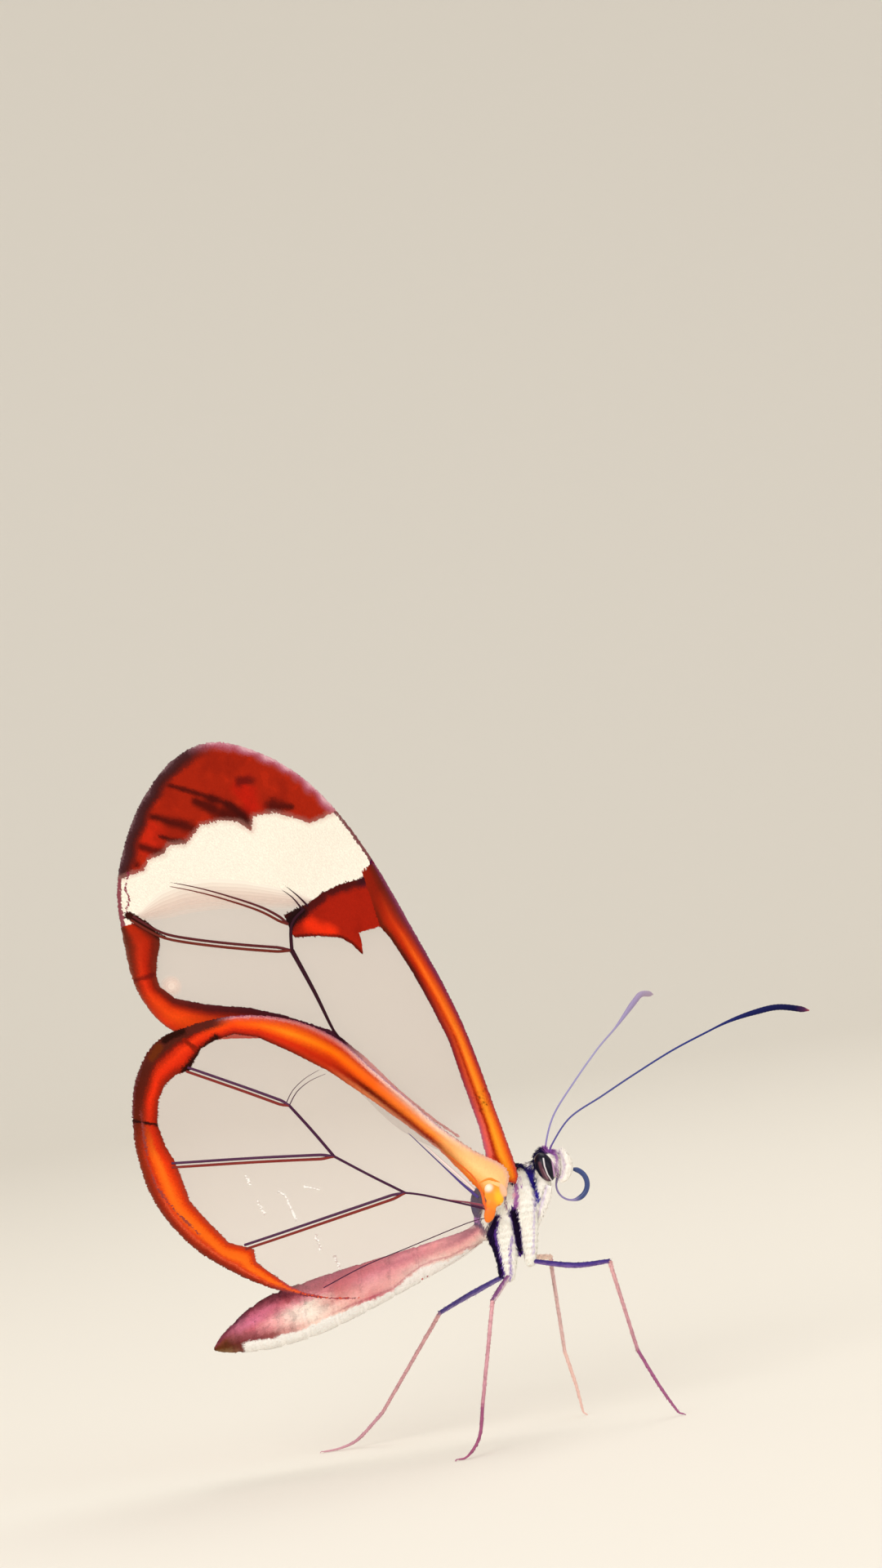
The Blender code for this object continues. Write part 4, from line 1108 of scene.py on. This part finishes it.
def forewing_pattern(plan, rim):
    """The rear band, white band, haze and milky spot, tip, cross-vein patch and front band."""
    pattern = Pattern(plan)
    u, v = plan.T
    blot = speckle(plan, 1.6, 4)
    fine = speckle(plan, 0.5, 5)
    beyond = [(31.0, 11.0), (31.0, -5.0)]
    tipward = [(24, 12), *beyond, (18, -6), (18.1, 0.0)]
    share, border, _ = band_share(plan, rim, HIND_INNER)
    hind = within(plan, np.array(HIND_INNER + [(-2, 2.5), (4, 5), (13, 9), (17, 13), (24, 13)]))
    from_inner, _ = from_line(plan, np.array(HIND_INNER))
    hind &= (u > 11.5) | (from_inner < 0.10 + 0.60 * between(u, 6.0, 11.5))
    pattern.lay(hind & (u > 3.5), banded(share, u + 0.3 * fine, FORE_HIND))
    white = within(plan, np.array(WHITE_EDGE + beyond))
    solid = within(plan, np.vstack([FADE_LINES[-1], tipward])) | (white & (v < 0.5))
    white |= within(plan, np.vstack([FADE_LINES[0], tipward]))
    pattern.lay(white, "fbf2e2", MILK)
    fade = white & ~solid
    for level, line in enumerate(FADE_LINES[:-1]):
        pattern.sheet[fade & within(plan, np.vstack([line, tipward]))] = HAZE + level
    pattern.cover[fade] = 0
    for level, radius in enumerate(MILKY_RINGS):
        pattern.sheet[~hind & (np.hypot(u - MILKY_SPOT[0], v - MILKY_SPOT[1]) < radius)] = HAZE + level
    apex = within(plan, np.array(APEX_EDGE + beyond))
    pattern.lay(apex, "a4240f")
    away, _ = from_line(plan, np.array(APEX_EDGE))
    pattern.mark(apex, "c01c0d", [(25.6, 0.2), (24.6, 0.4)], 0.4 * fine, 0.2, 0.9, 0.8)
    pattern.mark(apex, "cc2812", [(26.4, 5.6), (25.9, 6.1)], 0.3 * fine, 0.3, 0.9, 0.8)
    pattern.tint(apex * between(blot - 0.4 * fine, 0.05, 0.5) * 0.45, "861c0e")
    pattern.tint(apex * between(fine - 0.6 * blot, 0.2, 0.5) * 0.35, "c42c12")
    pattern.tint(apex * (1 - between(away + 0.1 * fine, 0.0, 0.3)) * 0.55, "5c1612")
    for streak, wide in APEX_STREAKS:
        near, share = from_line(plan, np.array(streak))
        half = wide * (0.5 + 1.1 * share)
        pattern.tint(apex * (1 - between(near + 0.08 * fine, 0.2 * half, 1.9 * half)) * 0.85, "3a0f0c")
    pattern.mark(apex, "4a1210", [(25.7, -0.35), (26.1, 0.1)], 0.2 * fine, 0.05, 0.42, 0.75)
    wavy = 0.05 * np.sin(2.6 * (u - v)) + 0.04 * fine
    margin = ramp(border + wavy, APEX_MARGIN)
    margin = blend(margin, pattern.colour, between(border + wavy, 0.6, 0.9))
    costa_rim = ramp(border + 0.15 * fine, APEX_COSTA)
    costa_rim = blend(costa_rim, pattern.colour, between(border + 0.15 * fine, 0.4, 0.6))
    margin = blend(margin, costa_rim, 1 - between(v + 0.3 * fine, 0.0, 1.8))
    pattern.lay(apex, margin)
    pattern.tint(white * (1 - between(away + 0.1 * fine, 0.02, 0.30)) * 0.4, "c08478")
    disc = within(plan, np.array(DISC_PATCH))
    pattern.lay(disc, "a6200f")
    pattern.tint(disc * between(blot + 0.5 * fine, 0.1, 0.6) * 0.4, "86180c")
    pattern.mark(disc, "ea3010", [(17.45, 1.45), (16.9, 1.05), (16.5, 0.75)], 0.12 * fine, 0.1, 0.65)
    pattern.mark(disc, "4a1038", [(18.6, -3.3), (18.3, -2.7), (17.9, -2.3)], 0.1 * fine, 0.1, 0.5)
    pattern.mark(disc, "3c1414", DISC_PATCH[2:7], 0.15 * fine, 0.24, 0.66, 0.9)
    pattern.mark(disc, "4a120c", DISC_PATCH[8:13], 0.05 * fine, 0.04, 0.20, 0.85)
    pattern.mark(disc, "241010", [(18.45, 1.6), (18.2, 2.3)], 0.15 * fine, 0.25, 0.7)
    near, _ = from_line(plan, np.array([(23.5, 9.2), (22.7, 8.83), (21.9, 8.5), (21.2, 8.15)]))
    pattern.lay(near + 0.04 * fine < 0.20 * between(u, 20.9, 23.0), "36140e")
    pattern.tint(hind * (1 - between(near + 0.06 * fine, 0.12, 0.36)), "36140e")
    pattern.mark(hind, "5c1410", [(20.4, 10.9), (20.1, 9.9)], 0.05 * fine, 0.03, 0.20, 0.7)
    share, _, _ = band_share(plan, rim, COSTA_INNER)
    costal = within(plan, np.array(COSTA_INNER + [(21.0, -6), (5, -6), (-2, -2)])) & (u < 18.3)
    pattern.lay(costal, banded(share, u, FORE_COSTAL))
    pattern.lay(white & ~apex & ~disc & (v < 0) & (border < 0.16), "7c4a4c")
    pattern.lay(white & ~apex & (v > 4) & (border + 0.3 * wavy < 0.2), "8c4850")
    near, _ = from_line(plan, np.array([(25.4, 7.9), (24.8, 8.54), (24.26, 8.64), (23.74, 9.19)]))
    pattern.lay(white & (near < 0.05), "8a3444")
    return pattern


def hindwing_pattern(plan, rim):
    """One band round the wing from its root, with its dark marks, and thin white lines on the film."""
    pattern = Pattern(plan)
    u, v = plan.T
    fine = speckle(plan, 0.5, 8)
    costal = within(plan, np.array(HIND_COSTA_INNER + [(17.4, -9), (0, -9), (-2, -3)]))
    border = within(plan, np.array(HIND_BORDER_INNER + [(-3, 5), (8, 11), (24, 6), (24, -9), (17.33, -9)]))
    share, edge, _ = band_share(plan, rim, HIND_COSTA_INNER + HIND_BORDER_INNER[1:])
    wavy = 0.03 * np.sin(3.1 * (u + v)) * (1 - np.abs(2 * share - 1))
    edging = banded(share + wavy, v, HIND_BORDER)
    top = banded(share, u + 0.2 * fine, HIND_COSTAL)
    edging = blend(edging, top, (1 - between(u, 16.3, 17.9)) * ((v < -2.0) | (u < 8.0)))
    pattern.lay(costal, edging)
    edging = blend(edging, ramp(share, HIND_ANAL), 1 - between(u, 8.6, 10.4))
    pattern.lay(border & (u > 2.0) & ((u > 9.0) | (edge < 0.07 + 0.73 * between(u, 6.0, 9.0))), edging)
    band = costal | border
    corner = between(u, 15.9, 17.2) * (1 - between(v, -3.5, -2.0))
    pattern.tint(band * (1 - between(edge, 0.32, 0.55)) * corner, "5a221a")
    for shade, wide, line in HIND_MARKS:
        pattern.mark(band, shade, line, 0.06 * fine, 0.5 * wide, 1.4 * wide)
    # Thin white lines laid on the clear film.
    for line in FILM_WHITE_LINES:
        near, _ = from_line(plan, smooth_line(line, 0.1))
        white_line = (near < 0.04) & (pattern.sheet == CLEAR)
        pattern.colour[white_line] = rgb("fffaf4")
        pattern.cover[white_line] = 0.85
    return pattern


PATTERNS = {"forewing": forewing_pattern, "hindwing": hindwing_pattern}


def film_finish(name, alpha, colour, other, roughness):
    """A thin see-through film, its colour drifting a little from place to place."""
    made, nodes, links, shader = new_finish(name, {"Alpha": alpha, "Roughness": roughness})
    drift = on_piece(nodes, links, "ShaderNodeTexNoise", {"Scale": 0.5 / MM, "Detail": 4.0})
    blend = nodes.new("ShaderNodeValToRGB")
    blend.color_ramp.elements[0].color = (*rgb(colour), 1.0)
    blend.color_ramp.elements[1].color = (*rgb(other), 1.0)
    links.new(drift.outputs["Fac"], blend.inputs["Fac"])
    links.new(blend.outputs["Color"], shader.inputs["Base Color"])
    return made


FILMS = [
    film_finish("wing_film", 0.065, "dec4b4", "d8bcb8", 0.2),
    *(film_finish(f"wing_haze_{i + 1}", *film, 0.4) for i, film in enumerate(FADE_FILMS)),
    film_finish("wing_milk", 0.90, "fbf2e2", "f9eedd", 0.45),
    dyed_finish("wing_scaled", 0.6, 9.0, 0.15, specular=0.02),
]
SCALE_FINISH = dyed_finish("wing_scales", 0.6, 9.0, 0.1, specular=0.02)
SCALE_ROWS, SCALE_LENGTH, SCALE_WIDTH, SCALE_TILT = (0.09, 0.07), 0.15, 0.08, 0.008
RAGGED = 0.025

for kind, wing in WINGS.items():
    rim = smooth_line(wing["outline"], 0.25, loop=True)
    closed_rim = np.vstack([rim, rim[:1]])
    low, high = rim.min(0), rim.max(0)
    grid = np.array([
        (x + 0.5 * WING_GRID * (row % 2), y, row % 3 == 0 and column % 3 == 0)
        for row, y in enumerate(np.arange(low[1], high[1], WING_GRID * 0.87))
        for column, x in enumerate(np.arange(low[0], high[0], WING_GRID))
    ])
    sparse, grid = grid[:, 2] > 0, grid[:, :2]
    points, edges = list(rim), [(i, (i + 1) % len(rim)) for i in range(len(rim))]
    for line in FILM_LINES[kind]:
        length = np.linalg.norm(np.diff(np.asarray(line), axis=0), axis=1).sum()
        drawn = evenly(line, int(length / LINE_STEP) + 2)
        clear_of_rim = within(drawn, rim) & (from_line(drawn, closed_rim)[0] > 0.03)
        for i, keep in enumerate(clear_of_rim):
            if keep and i and clear_of_rim[i - 1]:
                edges.append((len(points) - 1, len(points)))
            if keep:
                points.append(drawn[i])
    to_points = np.min([from_line(grid, np.array(line))[0] for line in FILM_LINES[kind]], axis=0)
    inside_rim = within(grid, rim) & (from_line(grid, closed_rim)[0] > WING_GRID * 0.5)
    scaled = PATTERNS[kind](grid, closed_rim).sheet != CLEAR
    grid = grid[inside_rim & (scaled | sparse) & (to_points > WING_GRID * 0.4)]
    made, _, triangles, *_ = delaunay_2d_cdt([Vector(p) for p in [*points, *grid]], edges, [], 1, 1e-4)
    plan = np.array([tuple(p) for p in made])
    triangles = np.array([tuple(t) for t in triangles])
    centres = plan[triangles].mean(1)
    sheets = PATTERNS[kind](centres, closed_rim).sheet
    inset = plan[triangles] + 0.1 * (centres[:, None, :] - plan[triangles])
    shades = PATTERNS[kind](inset.reshape(-1, 2), closed_rim).colour.reshape(-1, 3, 3)
    uses = {(a, b) for t in triangles for a, b in zip(t, np.roll(t, -1))}
    rim_edges = np.array([edge for edge in uses if (edge[1], edge[0]) not in uses])
    rim_shades = PATTERNS[kind](plan[rim_edges].mean(1) * 0.995, closed_rim).colour
    roots = np.array([
        (x, y)
        for x in np.arange(low[0] - 0.1, high[0] + 0.1, SCALE_ROWS[0])
        for y in np.arange(low[1] - 0.1, high[1] + 0.1, SCALE_ROWS[1])
    ])

    for side_name, side in SIDES.items():
        count = len(plan)
        sheet_points = np.vstack([on_wing(kind, side, plan, out) for out in (FILM_HALF, -FILM_HALF)])
        a, b = rim_edges.T
        walls = np.stack([b, a, a + count, b + count], 1)
        faces = [*triangles.tolist(), *(triangles[:, ::-1] + count).tolist(), *walls.tolist()]
        tints = [*shades, *shades[:, ::-1], *np.repeat(rim_shades[:, None, :], 4, axis=1)]
        if side > 0:
            faces = [face[::-1] for face in faces]
            tints = [tint[::-1] for tint in tints]
        mesh = bpy.data.meshes.new(f"{kind}_film_{side_name}")
        mesh.from_pydata(place(sheet_points).tolist(), [], faces)
        for finish in FILMS:
            mesh.materials.append(finish)
        kinds = np.concatenate([sheets, sheets, np.full(len(rim_edges), SCALED)])
        mesh.polygons.foreach_set("material_index", kinds.astype(np.int32))
        dye(mesh, np.vstack(tints), "CORNER")
        mesh.shade_smooth()
        film = add_object(mesh.name, mesh)
        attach(film, "root")
        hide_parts(f"{kind}_{side_name}")

        for face_name, out in (("outer", 1), ("inner", -1)):
            base = roots + random.uniform(-0.035, 0.035, roots.shape)
            base = base[within(base, rim)]
            heading = base / np.linalg.norm(base, axis=1)[:, None]
            marks = PATTERNS[kind](base + heading * random.normal(0, RAGGED, len(base))[:, None], closed_rim)
            keep = random.random(len(base)) < np.where((out < 0) & (marks.cover < 0.9), 0, marks.cover)
            base, heading = base[keep], heading[keep]
            count = len(base)
            colours = np.clip(marks.colour[keep] * random.uniform(0.95, 1.04, (count, 1)), 0, 1)
            base = base - heading * SCALE_LENGTH * 0.5
            beside = np.column_stack([-heading[:, 1], heading[:, 0]])
            long = SCALE_LENGTH * random.uniform(0.8, 1.2, count)[:, None]
            wide = SCALE_WIDTH * random.uniform(0.8, 1.2, count)[:, None]
            level = out * (FILM_HALF + random.uniform(0, SCALE_TILT / 2, count))
            widest = base + heading * long * 0.7
            chart = 0.01 + 0.97 * (base - low) / (high - low) * (0.5, 1.0) + ((0.5 if out < 0 else 0.0), 0.0)
            scales = tuft_mesh(
                f"{kind}_scales_{face_name}_{side_name}",
                on_wing(kind, side, base, level - out * 0.004),
                on_wing(kind, side, widest + beside * wide / 2, level + out * SCALE_TILT * 0.6),
                on_wing(kind, side, widest - beside * wide / 2, level + out * SCALE_TILT * 0.6),
                on_wing(kind, side, base + heading * long, level + out * SCALE_TILT),
                colours,
                chart,
            )
            scales.data.materials.append(SCALE_FINISH)
            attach(scales, "root")

# The wing hinges: at each hindwing's root sits a pad of yellow cuticle with a cream boss on it, an orange
# knob below, and the thick ends of the first veins, which run on into the wing.
HINGE_SIDE = 2.06
HINGE_BALLS = [
    ("f39a24", (0.9, 13.22), (0.52, 0.12, 0.68), -20),
    ("fbcc1e", (1.06, 13.12), (0.32, 0.17, 0.46), -20),
    ("fff2de", (0.72, 13.58), (0.27, 0.19, 0.28), 0),
    ("f58a1c", (0.68, 12.7), (0.32, 0.15, 0.36), 25),
    ("f07818", (0.54, 12.28), (0.3, 0.16, 0.56), 25),
    ("f2bc98", (1.42, 13.42), (0.2, 0.1, 0.42), -15),
]
HINGE_VOXEL, HINGE_ROUNDS, HINGE_DROP = 0.035, 4, 0.30
HINGE_LINES = [
    ("ee8a20", (0.05, 0.1, 0.04), [(0.2, 13.96), (0.73, 14.1), (1.08, 13.96), (1.5, 13.7)]),
    ("e8641a", (0.01, 0.06, 0.11), [(-1.2, 15.7), (-0.09, 14.4), (0.26, 13.47), (0.33, 12.71),
                                    (0.45, 12.1)]),
    ("8a3c50", (0.01, 0.04, 0.09), [(-1.6, 13.33), (-0.45, 12.98), (0.25, 12.72)]),
    ("4a3480", (0.01, 0.03, 0.09), [(-3.15, 17.2), (-1.92, 15.6), (-0.8, 14.17), (-0.42, 13.73),
                                    (0.05, 13.2)]),
    ("f6dcd6", (0.01, 0.06, 0.06), [(-2.4, 16.45), (-1.35, 15.15), (-0.6, 14.25), (-0.1, 13.6)]),
]
HINGE_FINISH = dyed_finish("hinge_horn", 0.4, 12.0, 0.15, specular=0.35)
for side_name, side in SIDES.items():
    drop = HINGE_DROP if side > 0 else 0.0
    lines = [
        sized(smooth_line([(x, side * HINGE_SIDE, z - drop) for x, z in line], 0.1), sizes)
        for _, sizes, line in HINGE_LINES
    ]
    hinge = drawn_tube(f"hinge_{side_name}", lines, 3)
    found = in_mm(hinge) + (0, 0, drop)
    away = [from_line(found[:, [0, 2]], np.array(line))[0] for _, _, line in HINGE_LINES]
    dye(hinge.data, np.array([rgb(shade) for shade, _, _ in HINGE_LINES])[np.argmin(away, axis=0)])
    hinge.data.materials.append(HINGE_FINISH)
    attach(hinge, "root")
    bpy.ops.object.select_all(action="DESELECT")
    bosses = [ball((x, 0, z), size) for _, (x, z), size, _ in HINGE_BALLS]
    for boss, (_, _, _, lean) in zip(bosses, HINGE_BALLS):
        boss.rotation_euler = (0, math.radians(lean), 0)
    pad = melted(bosses, f"hinge_pad_{side_name}", HINGE_VOXEL, HINGE_ROUNDS)
    found = coordinates(pad.data)
    reach = np.array([
        np.hypot((found[:, 0] - x) / size[0], (found[:, 2] - z) / size[2])
        for _, (x, z), size, _ in HINGE_BALLS
    ])
    weight = np.exp(-5 * reach**2) + 1e-9
    mixed = weight.T @ np.array([rgb(shade) for shade, _, _, _ in HINGE_BALLS]) / weight.sum(0)[:, None]
    settle(pad, found + (0, side * HINGE_SIDE, -drop))
    dye(pad.data, mixed)
    pad.data.materials.append(HINGE_FINISH)
    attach(pad, "root")

# The veins: brown tubes that frame the cells. The long ones are so thin that only their two walls show, as
# dark threads side by side, and the short thick ones that close the cell are dark all over.
VEINS = {
    "forewing": {
        "double": [
            (0.3, [(18.2, 2.38), (19.67, 3.11), (21.4, 4.4), (22.6, 5.42), (23.62, 6.41)]),
            (0.9, [(16.93, 3.03), (18.6, 5.1), (20.25, 7.0), (21.45, 8.2), (22.4, 8.75), (23.3, 9.15)]),
        ],
        "single": [
            (0.16, 0.2, [(18.4, 1.2), (18.1, 2.23), (16.93, 3.03)]),
            (0.27, 0.13, [(16.93, 3.03), (14.4, 3.3), (12.04, 3.64), (11.3, 3.5)]),
            (0.13, 0.02, [(18.4, 0.95), (19.23, 1.1), (20.3, 1.42)]),
            (0.12, 0.02, [(18.45, 1.3), (19.3, 1.38), (20.1, 1.68)]),
        ],
    },
    "hindwing": {
        "double": [
            (0.9, [(11.9, -2.67), (14.6, -2.85), (17.75, -3.02)]),
            (0.9, [(8.82, -0.71), (12.9, 0.68), (17.1, 2.19)]),
            (0.9, [(4.6, 0.09), (8.3, 2.7), (12.08, 5.31)]),
        ],
        "single": [
            (0.16, 0.16, [(11.9, -2.67), (10.4, -1.75), (8.82, -0.71)]),
            (0.14, 0.14, [(8.82, -0.71), (6.7, -0.28), (4.6, 0.09)]),
            (0.12, 0.1, [(4.6, 0.09), (3.55, -0.08), (1.17, -0.25), (0.0, -0.3)]),
            (0.06, 0.05, [(7.4, 6.2), (5.6, 4.45), (3.63, 2.87), (0.9, 0.68), (-0.1, 0.1)]),
            (0.06, 0.02, [(11.9, -2.67), (11.71, -3.5), (11.2, -4.25), (10.5, -4.85)]),
            (0.05, 0.02, [(12.1, -2.7), (11.95, -3.5), (11.5, -4.3), (10.9, -4.95)]),
        ],
    },
}
THREAD, THREAD_GAP = 0.078, 0.112
VEIN_SHADES = {"forewing": ("5a2426", "6e2a20", "341420"), "hindwing": ("54304c", "84302a", "45203c")}
VEIN_FINISH = dyed_finish("vein_horn", 0.5, 9.0, 0.1)


def vein_path(kind, side, points, sizes, shift=0.0):
    """A vein's line on the wing, eased sideways by the shift, with its radius at each point."""
    line = smooth_line(points, 0.25)
    step = np.gradient(line, axis=0)
    step /= np.linalg.norm(step, axis=1)[:, None]
    taper = np.linspace(sizes[0], sizes[1], len(line))
    spread = shift * ease(np.linspace(0, 8, len(line)))
    line = line + np.column_stack([-step[:, 1], step[:, 0]]) * spread[:, None]
    return np.column_stack([on_wing(kind, side, line, 0.0), taper])


for kind, veins in VEINS.items():
    for side_name, side in SIDES.items():
        upper, lower = (
            [vein_path(kind, side, line, (THREAD, THREAD * end), gap) for end, line in veins["double"]]
            for gap in (-THREAD_GAP, THREAD_GAP)
        )
        single = [vein_path(kind, side, line, (a / 2, b / 2)) for a, b, line in veins["single"]]
        sets = zip(("upper", "lower", "joining"), (upper, lower, single), VEIN_SHADES[kind])
        for part, lines, shade in sets:
            tubes = drawn_tube(f"{kind}_{part}_veins_{side_name}", lines, 2)
            dye(tubes.data, np.tile(rgb(shade), (len(tubes.data.vertices), 1)))
            tubes.data.materials.append(VEIN_FINISH)
            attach(tubes, "root")
